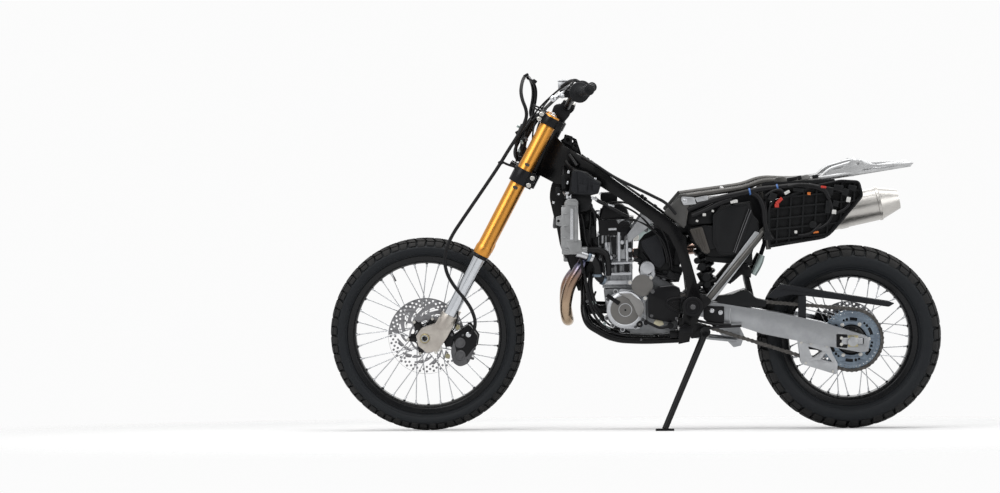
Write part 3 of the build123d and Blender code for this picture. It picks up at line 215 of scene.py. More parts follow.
def finish_of(name, colour, rough, metal=0.0, second=None, spread=0.08, grain=1500.0, patch=22.0, bump=0.2,
        depth=0.0002, dust=0.0, wear=0.0, wear_colour=(0.55, 0.55, 0.55), lines=None, rings=None, coat=0.0,
        specular=0.5, ior=1.5, density=2600.0, stain_and_shade_bands=None):
    """One finish: base colour with patches, grain or brushed lines in roughness and bump, dust and worn edges, and
    colour bands along an axis, used for heat stains and for painted shade.
    """
    made, tree = empty_material(name)
    shader = node(tree, "ShaderNodeBsdfPrincipled", {"IOR": ior, "Specular IOR Level": specular,
        "Coat Weight": coat, "Coat Roughness": 0.08})
    node(tree, "ShaderNodeOutputMaterial", {"Surface": shader.outputs[0]})
    surface = use(tree, "grain", Grain_Scale=grain, Patch_Scale=patch)
    second = second or tuple(c * (1.0 - spread * 1.8) for c in colour)
    tone = mix(tree, surface["Patches"], (*colour, 1.0), (*second, 1.0))
    height = surface["Grain"]
    if lines:
        height = use(tree, "brushed", Along=lines, Density=density)["Lines"]
    if rings:
        centre, axis = rings
        height = use(tree, "turned", Centre=centre, Axis=axis, Density=density)["Rings"]
    if lines or rings:
        streak = ramp(tree, height, 0.3, 0.7)
        tone = mix(tree, math_node(tree, "MULTIPLY", streak, 0.35), tone, (*[c * 0.72 for c in colour], 1.0))
    # Colour bands multiplied into the tone: real heat stains on the header pipe, painted shade on the subframe rails.
    if stain_and_shade_bands:
        axis, low, high, stops = stain_and_shade_bands
        along = vector_node(tree, "DOT_PRODUCT", object_place(tree), axis)
        wander = math_node(tree, "MULTIPLY_ADD", surface["Patches"], (high - low) * 0.04, along)
        bands = node(tree, "ShaderNodeValToRGB", {"Fac": ramp(tree, wander, low, high)})
        while len(bands.color_ramp.elements) < len(stops):
            bands.color_ramp.elements.new(0.5)
        for element, (spot, shade) in zip(bands.color_ramp.elements, stops):
            element.position = spot
            element.color = (*shade, 1.0)
        tone = mix(tree, 1.0, tone, bands.outputs[0], "MULTIPLY")
    swing = math_node(tree, "MULTIPLY_ADD", height, spread * 1.2, rough - spread * 0.9)
    swing = math_node(tree, "MULTIPLY_ADD", surface["Patches"], spread * 0.6, swing, clamp=True)
    metallic = metal
    if wear:
        worn = use(tree, "wear", Amount=wear)["Mask"]
        tone = mix(tree, worn, tone, (*wear_colour, 1.0))
        if metal < 0.5:
            metallic = math_node(tree, "MAXIMUM", worn, metal)
    if dust:
        dusty = use(tree, "dust", Amount=dust)["Mask"]
        tone = mix(tree, dusty, tone, DUST_COLOUR)
        swing = math_node(tree, "MULTIPLY_ADD", dusty, 0.5, swing, clamp=True)
    bumped = node(tree, "ShaderNodeBump", {"Strength": bump, "Distance": depth, "Height": height})
    tree.links.new(tone, shader.inputs["Base Color"])
    tree.links.new(swing, shader.inputs["Roughness"])
    tree.links.new(bumped.outputs[0], shader.inputs["Normal"])
    if isinstance(metallic, bpy.types.NodeSocket):
        tree.links.new(metallic, shader.inputs["Metallic"])
    else:
        shader.inputs["Metallic"].default_value = metallic
    return made


def row_axis(x, y, z):
    """A direction on the upright machine, as it leans in the row frame."""
    return tuple((TURN @ Vector((x, y, z))).normalized())


def row_place(point):
    """A place on the upright machine, in the row frame."""
    return tuple(TO_ROW @ Vector(point))


LATERAL = row_axis(0, 1, 0)
frame_paint = finish_of("frame_gloss_black", (0.0035, 0.0035, 0.004), 0.24, second=(0.006, 0.006, 0.0065),
    spread=0.05, bump=0.08, specular=0.16, dust=0.02)
satin_black = finish_of("satin_black_metal", (0.006, 0.006, 0.007), 0.34, grain=1600.0, bump=0.15, specular=0.16,
    dust=0.02)
clamp_black = finish_of("anodised_black", (0.010, 0.010, 0.0115), 0.32, metal=0.1, grain=2400.0, bump=0.12,
    specular=0.16)
moulded = finish_of("moulded_plastic", (0.008, 0.0085, 0.0095), 0.44, spread=0.10, grain=1300.0, bump=0.25,
    specular=0.16, dust=0.03)
dark_moulded = finish_of("dark_moulded_plastic", (0.013, 0.014, 0.0165), 0.50, spread=0.10, grain=1300.0,
    bump=0.25, specular=0.16, dust=0.03)
gusset_paint = finish_of("gusset_grey_paint", (0.055, 0.054, 0.052), 0.42, dust=0.04)
cover_face = finish_of("cover_face_grey", (0.135, 0.130, 0.124), 0.46, metal=0.25, grain=2200.0, bump=0.25,
    depth=0.0003)
cover_mid = finish_of("cover_mid_grey", (0.24, 0.235, 0.23), 0.42, metal=0.4, grain=2200.0, bump=0.25, depth=0.0003)
bracket_zinc = finish_of("bracket_pale_zinc", (0.36, 0.43, 0.42), 0.36, metal=0.5, spread=0.10, grain=1800.0)
cream_plastic = finish_of("cream_plastic", (0.52, 0.48, 0.34), 0.5)
brown_moulded = finish_of("brown_moulded_plastic", (0.040, 0.034, 0.028), 0.42, spread=0.12, grain=1300.0,
    bump=0.25, dust=0.05)
gold = finish_of("gold_anodised", (0.62, 0.28, 0.055), 0.36, metal=1.0, second=(0.57, 0.26, 0.05), spread=0.02,
    patch=9.0, lines=row_axis(*STEER_UP), density=1900.0, bump=0.01, grain=900.0)
chrome = finish_of("hard_chrome", (0.58, 0.60, 0.63), 0.10, metal=1.0, spread=0.05, lines=row_axis(*STEER_UP),
    bump=0.03, grain=900.0)
warm_cast = finish_of("warm_cast_alloy", (0.47, 0.44, 0.40), 0.40, metal=0.85, second=(0.36, 0.33, 0.30),
    spread=0.12, grain=1400.0, bump=0.35, depth=0.0003, dust=0.08)
brushed_alloy = finish_of("brushed_alloy", (0.36, 0.37, 0.385), 0.40, metal=0.95, spread=0.10,
    lines=row_axis(1, 0, -0.2), bump=0.10, grain=900.0)
satin_alloy = finish_of("satin_alloy", (0.43, 0.44, 0.455), 0.40, metal=0.9, spread=0.10, grain=2200.0, bump=0.15)
tail_alloy = finish_of("pale_tail_alloy", (0.50, 0.505, 0.51), 0.40, metal=0.6, grain=1800.0)
engine_cover = finish_of("cast_cover_alloy", (0.50, 0.51, 0.53), 0.36, metal=0.75, second=(0.40, 0.41, 0.43),
    spread=0.12, grain=1900.0, bump=0.30, depth=0.0003, dust=0.05)
engine_case = finish_of("cast_case_alloy", (0.20, 0.205, 0.215), 0.42, metal=0.6, second=(0.14, 0.145, 0.15),
    spread=0.14, bump=0.45, depth=0.0004, dust=0.12)
engine_dark = finish_of("dark_cast_alloy", (0.085, 0.088, 0.094), 0.42, metal=0.45, second=(0.05, 0.052, 0.056),
    spread=0.14, bump=0.45, depth=0.0004, dust=0.10)
head_alloy = finish_of("pale_head_alloy", (0.33, 0.34, 0.355), 0.40, metal=0.65, second=(0.25, 0.255, 0.265),
    spread=0.12, bump=0.4, depth=0.0004, dust=0.08)
rubber = finish_of("tyre_rubber", (0.0075, 0.0090, 0.0115), 0.58, second=(0.010, 0.012, 0.014), spread=0.12,
    grain=1100.0, patch=18.0, bump=0.35, depth=0.0003, dust=0.02, specular=0.22)
knob_rubber = finish_of("tread_rubber", (0.015, 0.0145, 0.0145), 0.64, second=(0.010, 0.0105, 0.011), spread=0.12,
    grain=900.0, patch=60.0, bump=0.5, depth=0.0004, dust=0.08, specular=0.22)
grip_rubber = finish_of("grip_rubber", (0.008, 0.0085, 0.010), 0.55, specular=0.2, spread=0.12, grain=1400.0,
    bump=0.4)
hose_rubber = finish_of("hose_rubber", (0.005, 0.005, 0.006), 0.40, specular=0.22, spread=0.10, bump=0.25, dust=0.05)
rim_black = finish_of("rim_anodised", (0.005, 0.0055, 0.0065), 0.28, specular=0.25, grain=2200.0, bump=0.1, dust=0.04)
spoke_steel = finish_of("spoke_steel", (0.55, 0.56, 0.58), 0.28, metal=0.95, grain=3000.0, bump=0.1)
front_disc_steel = finish_of("front_disc_steel", (0.23, 0.23, 0.24), 0.32, metal=0.95, bump=0.12,
    rings=(row_place(FRONT), LATERAL), density=1500.0, grain=900.0)
rear_disc_steel = finish_of("rear_disc_steel", (0.23, 0.23, 0.24), 0.32, metal=0.95, bump=0.12,
    rings=(row_place(REAR), LATERAL), density=1500.0, grain=900.0)
muffler_steel = finish_of("muffler_steel", (0.50, 0.485, 0.46), 0.34, metal=1.0, spread=0.10,
    lines=row_axis(430, 0, 96), bump=0.08, second=(0.56, 0.545, 0.52), density=1600.0, grain=900.0)
# Painted shade: the bands darken the subframe alloy toward the front, and it reaches its full colour only at the
# tail.
rail_alloy_painted_shade = finish_of("rail_alloy_painted_shade", (0.52, 0.525, 0.53), 0.40, metal=0.9, grain=2200.0, bump=0.12,
    stain_and_shade_bands=((1.0, 0.0, 0.0), 0.16, 0.96, [(0.0, (0.14, 0.14, 0.135)), (0.07, (0.20, 0.19, 0.18)),
    (0.45, (0.16, 0.155, 0.145)), (0.60, (0.45, 0.44, 0.43)), (0.68, (1.0, 1.0, 1.0))]))
heat_steel = finish_of("heat_stained_steel", (0.56, 0.50, 0.43), 0.20, metal=1.0, spread=0.06, grain=1400.0,
    bump=0.10, depth=0.0003, stain_and_shade_bands=((0.0, 0.0, 1.0), 0.36, 0.72, [(0.0, (0.80, 0.68, 0.54)),
    (0.28, (0.62, 0.50, 0.40)), (0.50, (0.42, 0.30, 0.26)), (0.66, (0.22, 0.27, 0.50)),
    (0.78, (0.55, 0.42, 0.40))]))
dark_steel = finish_of("dark_steel", (0.11, 0.11, 0.115), 0.38, metal=0.9, spread=0.12, grain=1800.0, bump=0.25)
bolt_zinc = finish_of("pale_zinc_bolts", (0.62, 0.61, 0.58), 0.36, metal=0.8, second=(0.50, 0.49, 0.46),
    spread=0.12, grain=2400.0, bump=0.25)
blue_zinc = finish_of("blue_zinc", (0.19, 0.235, 0.28), 0.34, metal=0.85, second=(0.13, 0.16, 0.20), spread=0.12,
    grain=2200.0)
yellow_zinc = finish_of("yellow_zinc", (0.42, 0.36, 0.20), 0.34, metal=0.85, second=(0.32, 0.30, 0.20),
    spread=0.12, grain=2200.0)
chain_steel = finish_of("chain_steel", (0.10, 0.095, 0.09), 0.36, metal=0.9, second=(0.06, 0.057, 0.054),
    spread=0.14, grain=2400.0, patch=90.0, bump=0.3)
radiator_alloy = finish_of("radiator_alloy", (0.30, 0.305, 0.31), 0.40, metal=0.75, spread=0.12, bump=0.35, dust=0.1)
white_plastic = finish_of("white_connector", (0.62, 0.62, 0.60), 0.45, grain=1600.0)
red_plastic = finish_of("red_connector", (0.50, 0.030, 0.018), 0.40, grain=1600.0)
orange_plastic = finish_of("orange_connector", (0.62, 0.16, 0.02), 0.42, grain=1600.0)
blue_plastic = finish_of("blue_connector", (0.05, 0.14, 0.38), 0.42, grain=1600.0)
spring_paint = finish_of("spring_paint", (0.030, 0.031, 0.034), 0.30, grain=1600.0, bump=0.15, coat=0.2)


# ---- piece making --------------------------------------------------------------------------------------------
def placed(name, data):
    """A new object in the scene."""
    made = bpy.data.objects.new(name, data)
    bpy.context.scene.collection.objects.link(made)
    return made


def mesh_of(name, bm):
    """A mesh from a bmesh, which is freed."""
    mesh = bpy.data.meshes.new(name)
    bm.to_mesh(mesh)
    bm.free()
    return mesh


def piece(name, mesh, material, body, replaces=(), smooth=35.0):
    """Registers a finished mesh, already in place, as a piece that rides on a body."""
    made = placed(name, mesh)
    mesh.materials.clear()
    mesh.materials.append(material)
    shade(mesh, smooth)
    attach(made, body)
    if replaces:
        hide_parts(*replaces)
    return made


def shade(mesh, angle):
    """Smooth faces with sharp edges past an angle in degrees."""
    bm = bmesh.new()
    bm.from_mesh(mesh)
    limit = math.radians(angle)
    for face in bm.faces:
        face.smooth = True
    for edge in bm.edges:
        edge.smooth = not (len(edge.link_faces) == 2 and edge.calc_face_angle(0.0) > limit)
    bm.to_mesh(mesh)
    bm.free()


def settle(name, bm, recalc=True):
    """Bike millimetres to the row frame, closed and facing outward."""
    bmesh.ops.remove_doubles(bm, verts=bm.verts, dist=0.001)
    if recalc:
        bmesh.ops.recalc_face_normals(bm, faces=bm.faces)
    bm.transform(TO_ROW)
    return mesh_of(name, bm)


def evaluated(thing):
    """The plain mesh that an object's modifiers give; the object is then removed."""
    graph = bpy.context.evaluated_depsgraph_get()
    mesh = bpy.data.meshes.new_from_object(thing.evaluated_get(graph))
    bpy.data.objects.remove(thing)
    return mesh


def softened(node_name, material, width):
    """A CAD node's shape with its hard edges rounded over."""
    source = frame["nodes"][node_name]
    bm = bmesh.new()
    bm.from_mesh(source.data)
    bmesh.ops.remove_doubles(bm, verts=bm.verts, dist=0.00001)
    bmesh.ops.dissolve_limit(bm, angle_limit=math.radians(0.6), verts=bm.verts, edges=bm.edges)
    temp = placed("temp", mesh_of(node_name + "_soft", bm))
    modifier = temp.modifiers.new("edges", "BEVEL")
    modifier.width = width * 0.001
    modifier.segments = 2
    modifier.limit_method = "ANGLE"
    modifier.angle_limit = math.radians(32.0)
    modifier.use_clamp_overlap = True
    modifier.miter_outer = "MITER_ARC"
    return piece(node_name + "_finished", evaluated(temp), material, source["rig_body"], (node_name,), 40.0)


def tube(bm, points, radius, sides=12, rounding=0.45, arc=5, radii=None):
    """Round bar along runs whose corners are rounded by quadratic arcs; radii may give one radius per path point."""
    points = [Vector(p) for p in points]
    path, widths = [], []
    for i, at in enumerate(points):
        width = radii[i] if radii else radius
        if i in (0, len(points) - 1):
            path.append(at)
            widths.append(width)
            continue
        before, after = points[i - 1], points[i + 1]
        reach = rounding * min((at - before).length, (after - at).length)
        a, b = at + (before - at).normalized() * reach, at + (after - at).normalized() * reach
        for k in range(arc + 1):
            t = k / arc
            path.append(a * (1 - t) ** 2 + at * 2 * t * (1 - t) + b * t * t)
            widths.append(width)
    heading = (path[1] - path[0]).normalized()
    side = heading.orthogonal().normalized()
    rings = []
    for i, at in enumerate(path):
        ahead = path[min(i + 1, len(path) - 1)] - path[max(i - 1, 0)]
        if ahead.length < 1e-6:
            continue
        turn = heading.rotation_difference(ahead.normalized())
        side = turn @ side
        heading = ahead.normalized()
        side = (side - heading * side.dot(heading)).normalized()
        other = heading.cross(side)
        rings.append([bm.verts.new(at + (side * math.cos(angle) + other * math.sin(angle)) * widths[i]) for angle
            in circle(sides)])
    for a, b in zip(rings, rings[1:]):
        for k in range(sides):
            bm.faces.new((a[k], a[(k + 1) % sides], b[(k + 1) % sides], b[k]))
    bm.faces.new(tuple(reversed(rings[0])))
    bm.faces.new(tuple(rings[-1]))


def polar(radius, angle):
    return radius * math.cos(angle), radius * math.sin(angle)


def around(centre, radius, angle, y):
    """A place at a radius and angle about a lateral axis, at a lateral distance."""
    x, z = polar(radius, angle)
    return centre + Vector((x, y, z))


def circle(sides):
    """Evenly spaced angles of a full turn."""
    return [2 * math.pi * k / sides for k in range(sides)]


def axes(direction, up=UP):
    """Right-handed matrix whose Z points along a direction and whose X is as near up as it can be."""
    z = Vector(direction).normalized()
    x = Vector(up) - z * z.dot(Vector(up))
    if x.length < 1e-4:
        x = z.orthogonal()
    x.normalize()
    return Matrix((x, z.cross(x), z)).transposed().to_4x4()


def lathe(bm, profile, place, direction, sides=32, up=UP):
    """Turned shape: profile of (radius, distance along the direction), closed where a radius is 0."""
    matrix = Matrix.Translation(Vector(place)) @ axes(direction, up)
    rings = []
    for radius, along in profile:
        if radius <= 0.0:
            rings.append([bm.verts.new(matrix @ Vector((0, 0, along)))])
            continue
        rings.append([bm.verts.new(matrix @ Vector((*polar(radius, angle), along))) for angle in circle(sides)])
    for a, b in zip(rings, rings[1:]):
        for k in range(sides):
            n = (k + 1) % sides
            if len(a) == 1 and len(b) == 1:
                continue
            if len(a) == 1:
                bm.faces.new((a[0], b[k], b[n]))
            elif len(b) == 1:
                bm.faces.new((a[k], a[n], b[0]))
            else:
                bm.faces.new((a[k], a[n], b[n], b[k]))


def rod(bm, profile, place, direction, sides=32, up=UP):
    """Turned solid: the profile's two ends are closed onto the axis."""
    lathe(bm, [(0, profile[0][1]), *profile, (0, profile[-1][1])], place, direction, sides, up)


def hoop(bm, profile, place, direction, sides=32, up=UP):
    """Turned ring: the profile is closed on itself."""
    lathe(bm, [*profile, profile[0]], place, direction, sides, up)


def shape_outline(points, rounding, steps=4):
    """Closed 2-D outline with its corners rounded; rounding is a length, kept under half the shorter run."""
    points = [Vector(p) for p in points]
    made = []
    for i, at in enumerate(points):
        before, after = points[i - 1], points[(i + 1) % len(points)]
        reach = min(rounding, 0.48 * (at - before).length, 0.48 * (after - at).length)
        if reach < 0.05:
            made.append(at)
            continue
        a, b = at + (before - at).normalized() * reach, at + (after - at).normalized() * reach
        for k in range(steps + 1):
            t = k / steps
            made.append(a * (1 - t) ** 2 + at * 2 * t * (1 - t) + b * t * t)
    return made


def disc_outline(centre, radius, sides=20):
    x, z = centre
    return [Vector((x + a, z + b)) for a, b in (polar(radius, angle) for angle in circle(sides))]


def plate(bm, outlines, thickness, matrix, edge=0.0):
    """Flat plate centred on the matrix's plane: the first outline is its rim, the rest are holes."""
    curve = bpy.data.curves.new("plate", "CURVE")
    curve.dimensions = "2D"
    curve.fill_mode = "BOTH"
    curve.extrude = thickness / 2 - edge
    curve.bevel_depth = edge
    curve.bevel_resolution = 1 if edge else 0
    curve.offset = -edge
    for outline in outlines:
        spline = curve.splines.new("POLY")
        spline.points.add(len(outline) - 1)
        for point, at in zip(spline.points, outline):
            point.co = (at[0], at[1], 0.0, 1.0)
        spline.use_cyclic_u = True
    temp = bpy.data.objects.new("plate", curve)
    mesh = bpy.data.meshes.new_from_object(temp)
    mesh.transform(matrix)
    bm.from_mesh(mesh)
    bpy.data.objects.remove(temp)
    bpy.data.curves.remove(curve)
    bpy.data.meshes.remove(mesh)


def lateral(y, x=0.0, z=0.0):
    """Plane whose local x is the machine's x and local y its height, facing left at a lateral place."""
    return Matrix(((1, 0, 0, x), (0, 0, -1, y), (0, 1, 0, z), (0, 0, 0, 1)))


def slab(bm, points, y_low, y_high, rounding=3.0, edge=0.8, holes=()):
    """Plate seen from the side: outline of (x, z) points between two lateral places, with round holes (x, z, r)."""
    outlines = [shape_outline(points, rounding)] + [disc_outline((x, z), r) for x, z, r in holes]
    plate(bm, outlines, abs(y_high - y_low), lateral((y_low + y_high) / 2), edge)


def rect(left, low, right, high):
    """Outline of a rectangle."""
    return [(left, low), (right, low), (right, high), (left, high)]


def box(bm, centre, size, turn=0.0, edge=1.0):
    """Block with chamfered edges about a centre, turned by a matrix or by an angle about the lateral axis."""
    made = bmesh.ops.create_cube(bm, size=1.0)["verts"]
    turn = turn if isinstance(turn, Matrix) else Matrix.Rotation(turn, 4, "Y")
    bmesh.ops.transform(bm, matrix=Matrix.Translation(Vector(centre)) @ turn @ Matrix.Diagonal((*size, 1.0)),
        verts=made)
    if edge:
        edges = {e for v in made for e in v.link_edges}
        bmesh.ops.bevel(bm, geom=list(edges), offset=edge, segments=2, profile=0.5, affect="EDGES")


def put(name, bm, material, body="chassis", replaces=(), smooth=35.0, recalc=True):
    """A piece from a bmesh in bike millimetres."""
    return piece(name, settle(name, bm, recalc), material, body, replaces, smooth)


def build(name, material, shapes, body="chassis", replaces=(), smooth=35.0, recalc=True):
    """A piece from rows of a shape function and what it is given."""
    bm = bmesh.new()
    for shape, *given in shapes:
        shape(bm, *given)
    return put(name, bm, material, body, replaces, smooth, recalc)


# ---- repeats, made by geometry nodes ---------------------------------------------------------------------------
def finish_copies(tree, copies, look, out):
    """Real copies in one finish at the tree's end."""
    real = node(tree, "GeometryNodeRealizeInstances", {0: copies.outputs[0]})
    done = node(tree, "GeometryNodeSetMaterial", {"Geometry": real.outputs[0], "Material": look})
    tree.links.new(done.outputs[0], out.inputs[0])


def stored(tree, name):
    """A vector kept on each point."""
    return node(tree, "GeometryNodeInputNamedAttribute", {"Name": name},
            data_type="FLOAT_VECTOR").outputs["Attribute"]


def ring_tree():
    """Copies of a template turned about the local Z axis."""
    tree = bpy.data.node_groups.new("Ring of copies", "GeometryNodeTree")
    face = tree.interface
    face.new_socket("Template", in_out="INPUT", socket_type="NodeSocketGeometry")
    count = face.new_socket("Copies", in_out="INPUT", socket_type="NodeSocketInt")
    first = face.new_socket("First Angle", in_out="INPUT", socket_type="NodeSocketFloat")
    look = face.new_socket("Finish", in_out="INPUT", socket_type="NodeSocketMaterial")
    face.new_socket("Copies Out", in_out="OUTPUT", socket_type="NodeSocketGeometry")
    given, out = tree.nodes.new("NodeGroupInput").outputs, tree.nodes.new("NodeGroupOutput")
    points = node(tree, "GeometryNodePoints", {"Count": given["Copies"]})
    step = math_node(tree, "DIVIDE", 2 * math.pi, given["Copies"])
    angle = math_node(tree, "MULTIPLY_ADD", node(tree, "GeometryNodeInputIndex").outputs[0], step,
        given["First Angle"])
    turn = node(tree, "ShaderNodeCombineXYZ", {"Z": angle}).outputs[0]
    copies = node(tree, "GeometryNodeInstanceOnPoints", {"Points": points.outputs[0],
        "Instance": given["Template"], "Rotation": turn})
    finish_copies(tree, copies, given["Finish"], out)
    return tree, (count.identifier, first.identifier, look.identifier)


def place_tree():
    """Copies of a template on points, turned by a stored rotation and scaled by a stored size."""
    tree = bpy.data.node_groups.new("Copies on places", "GeometryNodeTree")
    face = tree.interface
    face.new_socket("Places", in_out="INPUT", socket_type="NodeSocketGeometry")
    template = face.new_socket("Template", in_out="INPUT", socket_type="NodeSocketObject")
    look = face.new_socket("Finish", in_out="INPUT", socket_type="NodeSocketMaterial")
    face.new_socket("Copies Out", in_out="OUTPUT", socket_type="NodeSocketGeometry")
    given, out = tree.nodes.new("NodeGroupInput").outputs, tree.nodes.new("NodeGroupOutput")
    shape = node(tree, "GeometryNodeObjectInfo", {"Object": given["Template"]})
    links = {"Points": given["Places"], "Instance": shape.outputs["Geometry"], "Rotation": stored(tree, "turn"),
        "Scale": stored(tree, "size")}
    copies = node(tree, "GeometryNodeInstanceOnPoints", links)
    finish_copies(tree, copies, given["Finish"], out)
    return tree, (template.identifier, look.identifier)


RING_TREE, RING_KEYS = ring_tree()
PLACE_TREE, PLACE_KEYS = place_tree()


def wheel_ring(bm, template, count, centre, first=0.0, material=None):
    """Adds copies of a template round a wheel's axis; its local x and y lie in the wheel's plane, z points left."""
    bmesh.ops.recalc_face_normals(template, faces=template.faces)
    temp = placed("template", mesh_of("template", template))
    modifier = temp.modifiers.new("ring", "NODES")
    modifier.node_group = RING_TREE
    for key, value in zip(RING_KEYS, (count, first, material or frame_paint)):
        modifier[key] = value
    mesh = evaluated(temp)
    mesh.transform(Matrix.Translation(centre) @ lateral(0.0))
    bm.from_mesh(mesh)
    bpy.data.meshes.remove(mesh)


def copies_at(name, template, places, material, body):
    """A piece of copies of a template at (place, direction, size) rows; the template's Z follows the direction."""
    pattern = placed("template", mesh_of("template", template))
    dots = bpy.data.meshes.new("places")
    dots.from_pydata([tuple(Vector(row[0])) for row in places], [], [])
    turns = dots.attributes.new("turn", "FLOAT_VECTOR", "POINT")
    sizes = dots.attributes.new("size", "FLOAT_VECTOR", "POINT")
    for i, row in enumerate(places):
        turns.data[i].vector = axes(row[1], row[3] if len(row) > 3 else UP).to_euler("XYZ")
        sizes.data[i].vector = (row[2], row[2], row[2])
    holder = placed("places", dots)
    modifier = holder.modifiers.new("copies", "NODES")
    modifier.node_group = PLACE_TREE
    modifier[PLACE_KEYS[0]] = pattern
    modifier[PLACE_KEYS[1]] = material
    mesh = evaluated(holder)
    bpy.data.objects.remove(pattern)
    mesh.transform(TO_ROW)
    return piece(name, mesh, material, body)


def hex_bolts(name, rows, material=None, body="chassis"):
    """Flanged hex bolts at (place, direction, size) rows; size 1 is 8 mm across."""
    bm = bmesh.new()
    rod(bm, [(4.0 * 1.35 * 1.1, 0), (4.0 * 1.35 * 1.1, 1.4), (4.0 * 1.12, 2.0)], (0, 0, -0.6), UP, 20)
    rod(bm, [(4.0 * 1.12, 1.0), (4.0 * 1.12, 4.2), (3.8, 5.0), (2.0, 5.0), (1.68, 4.2)], (0, 0, -0.6), UP, 6)
    copies_at(name, bm, rows, material or bolt_zinc, body)


def cap_bolts(name, rows, material=None, body="chassis"):
    """Socket cap bolts at (place, direction, size) rows; size 1 is 8 mm across."""
    bm = bmesh.new()
    rod(bm, [(4.0, 0), (4.0, 4.3), (3.52, 5.0), (2.24, 5.0), (2.08, 2.8)], (0, 0, -0.6), UP, 18)
    copies_at(name, bm, rows, material or bolt_zinc, body)


# ---- camera, floor and light -----------------------------------------------------------------------------------
def place_camera():
    """Side view from the left, with the frame's own small roll, kept square to the leaning machine."""
    pitch, roll = math.radians(4.72), 0.0053
    station, far, high = -67.0, 8000.0, 1319.0
    pivot, drop = Vector((station, 0.0, 659.0)), Vector((0, 0, 3.6))
    focal_per_width, middle_across = 2.26, 0.619
    matrix = Matrix(((1, 0, 0, station), (0, math.sin(pitch), -math.cos(pitch), -far),
        (0, math.cos(pitch), math.sin(pitch), high), (0, 0, 0, 1)))
    tilt = Matrix.Translation(pivot - drop) @ Matrix.Rotation(roll, 4, "Y") @ Matrix.Translation(-pivot)
    data = bpy.data.cameras.new("camera")
    data.sensor_width = 36.0
    data.lens = data.sensor_width * focal_per_width
    data.shift_x = 0.5 - middle_across
    data.clip_start, data.clip_end = 0.1, 200.0
    camera = placed("camera", data)
    camera.rotation_mode = "QUATERNION"
    camera.location, camera.rotation_quaternion, _ = (TO_ROW @ tilt @ matrix).decompose()
    bpy.context.scene.camera = camera


BACKGROUND = 0.97
FLOOR_RADIUS, FADE_START, FADE_END = 7.0, 1.3, 2.9


def place_floor():
    """A pale round floor that fades out, so that no horizon shows."""
    bm = bmesh.new()
    bmesh.ops.create_circle(bm, cap_ends=True, segments=96, radius=FLOOR_RADIUS)
    floor = placed("floor", mesh_of("floor", bm))
    made, tree = empty_material("pale_floor")
    matte = node(tree, "ShaderNodeBsdfDiffuse", {"Color": (BACKGROUND, BACKGROUND, BACKGROUND, 1.0)})
    clear = node(tree, "ShaderNodeBsdfTransparent")
    reach = {"Value": vector_node(tree, "LENGTH", object_place(tree)), "From Min": FADE_START, "From Max": FADE_END}
    fade = node(tree, "ShaderNodeMapRange", reach, interpolation_type="SMOOTHSTEP").outputs[0]
    blend = node(tree, "ShaderNodeMixShader", {0: fade, 1: matte.outputs[0], 2: clear.outputs[0]})
    node(tree, "ShaderNodeOutputMaterial", {"Surface": blend.outputs[0]})
    floor.data.materials.append(made)


def area_light(name, place, aim, size, power):
    """A softbox aimed at a place; metres and watts."""
    data = bpy.data.lights.new(name, "AREA")
    data.shape = "RECTANGLE"
    data.size, data.size_y = size
    data.energy = power
    lamp = placed(name, data)
    lamp.location = place
    lamp.rotation_mode = "QUATERNION"
    lamp.rotation_quaternion = (Vector(place) - Vector(aim)).to_track_quat("Z", "Y")


def place_lights():
    """A dim sky that looks pale, a dark flag that the gloss reflects, and four softboxes."""
    world = bpy.data.worlds.new("studio")
    bpy.context.scene.world = world
    world.use_nodes = True
    tree = world.node_tree
    tree.nodes.clear()
    path = node(tree, "ShaderNodeLightPath")
    seen = math_node(tree, "MAXIMUM", path.outputs["Is Camera Ray"], path.outputs["Is Transmission Ray"])
    seen = math_node(tree, "MAXIMUM", seen, path.outputs["Is Glossy Ray"])
    dim = node(tree, "ShaderNodeBackground", {"Color": (1.0, 1.0, 1.0, 1.0), "Strength": 0.36})
    pale = node(tree, "ShaderNodeBackground", {"Color": (BACKGROUND, BACKGROUND, BACKGROUND, 1.0), "Strength": 1.0})
    blend = node(tree, "ShaderNodeMixShader", {0: seen, 1: dim.outputs[0], 2: pale.outputs[0]})
    node(tree, "ShaderNodeOutputWorld", {"Surface": blend.outputs[0]})
    flag = bmesh.new()
    corners = [(-5.0, -9.6, -0.2), (4.8, -9.6, -0.2), (4.8, -9.6, 3.2), (-5.0, -9.6, 3.2)]
    flag.faces.new([flag.verts.new(c) for c in corners])
    cloth, tree = empty_material("flag_cloth")
    matte = node(tree, "ShaderNodeBsdfDiffuse", {"Color": (0.02, 0.02, 0.02, 1.0)})
    node(tree, "ShaderNodeOutputMaterial", {"Surface": matte.outputs[0]})
    made = placed("dark_flag", mesh_of("dark_flag", flag))
    made.data.materials.append(cloth)
    made.visible_camera = False
    made.visible_shadow = False
    area_light("top_softbox", (0.0, -0.4, 3.4), (0.0, 0.1, 0.5), (4.2, 2.4), 82.0)
    area_light("key_softbox", (-2.4, -3.6, 2.7), (0.0, 0.0, 0.55), (2.4, 2.0), 70.0)
    area_light("side_softbox", (2.9, -3.0, 1.7), (0.2, 0.0, 0.5), (1.6, 2.2), 26.0)
    area_light("rear_softbox", (0.8, 3.6, 2.6), (0.0, 0.0, 0.6), (3.0, 1.8), 45.0)


bpy.context.scene.view_settings.view_transform = "Standard"
place_camera()
place_floor()
place_lights()

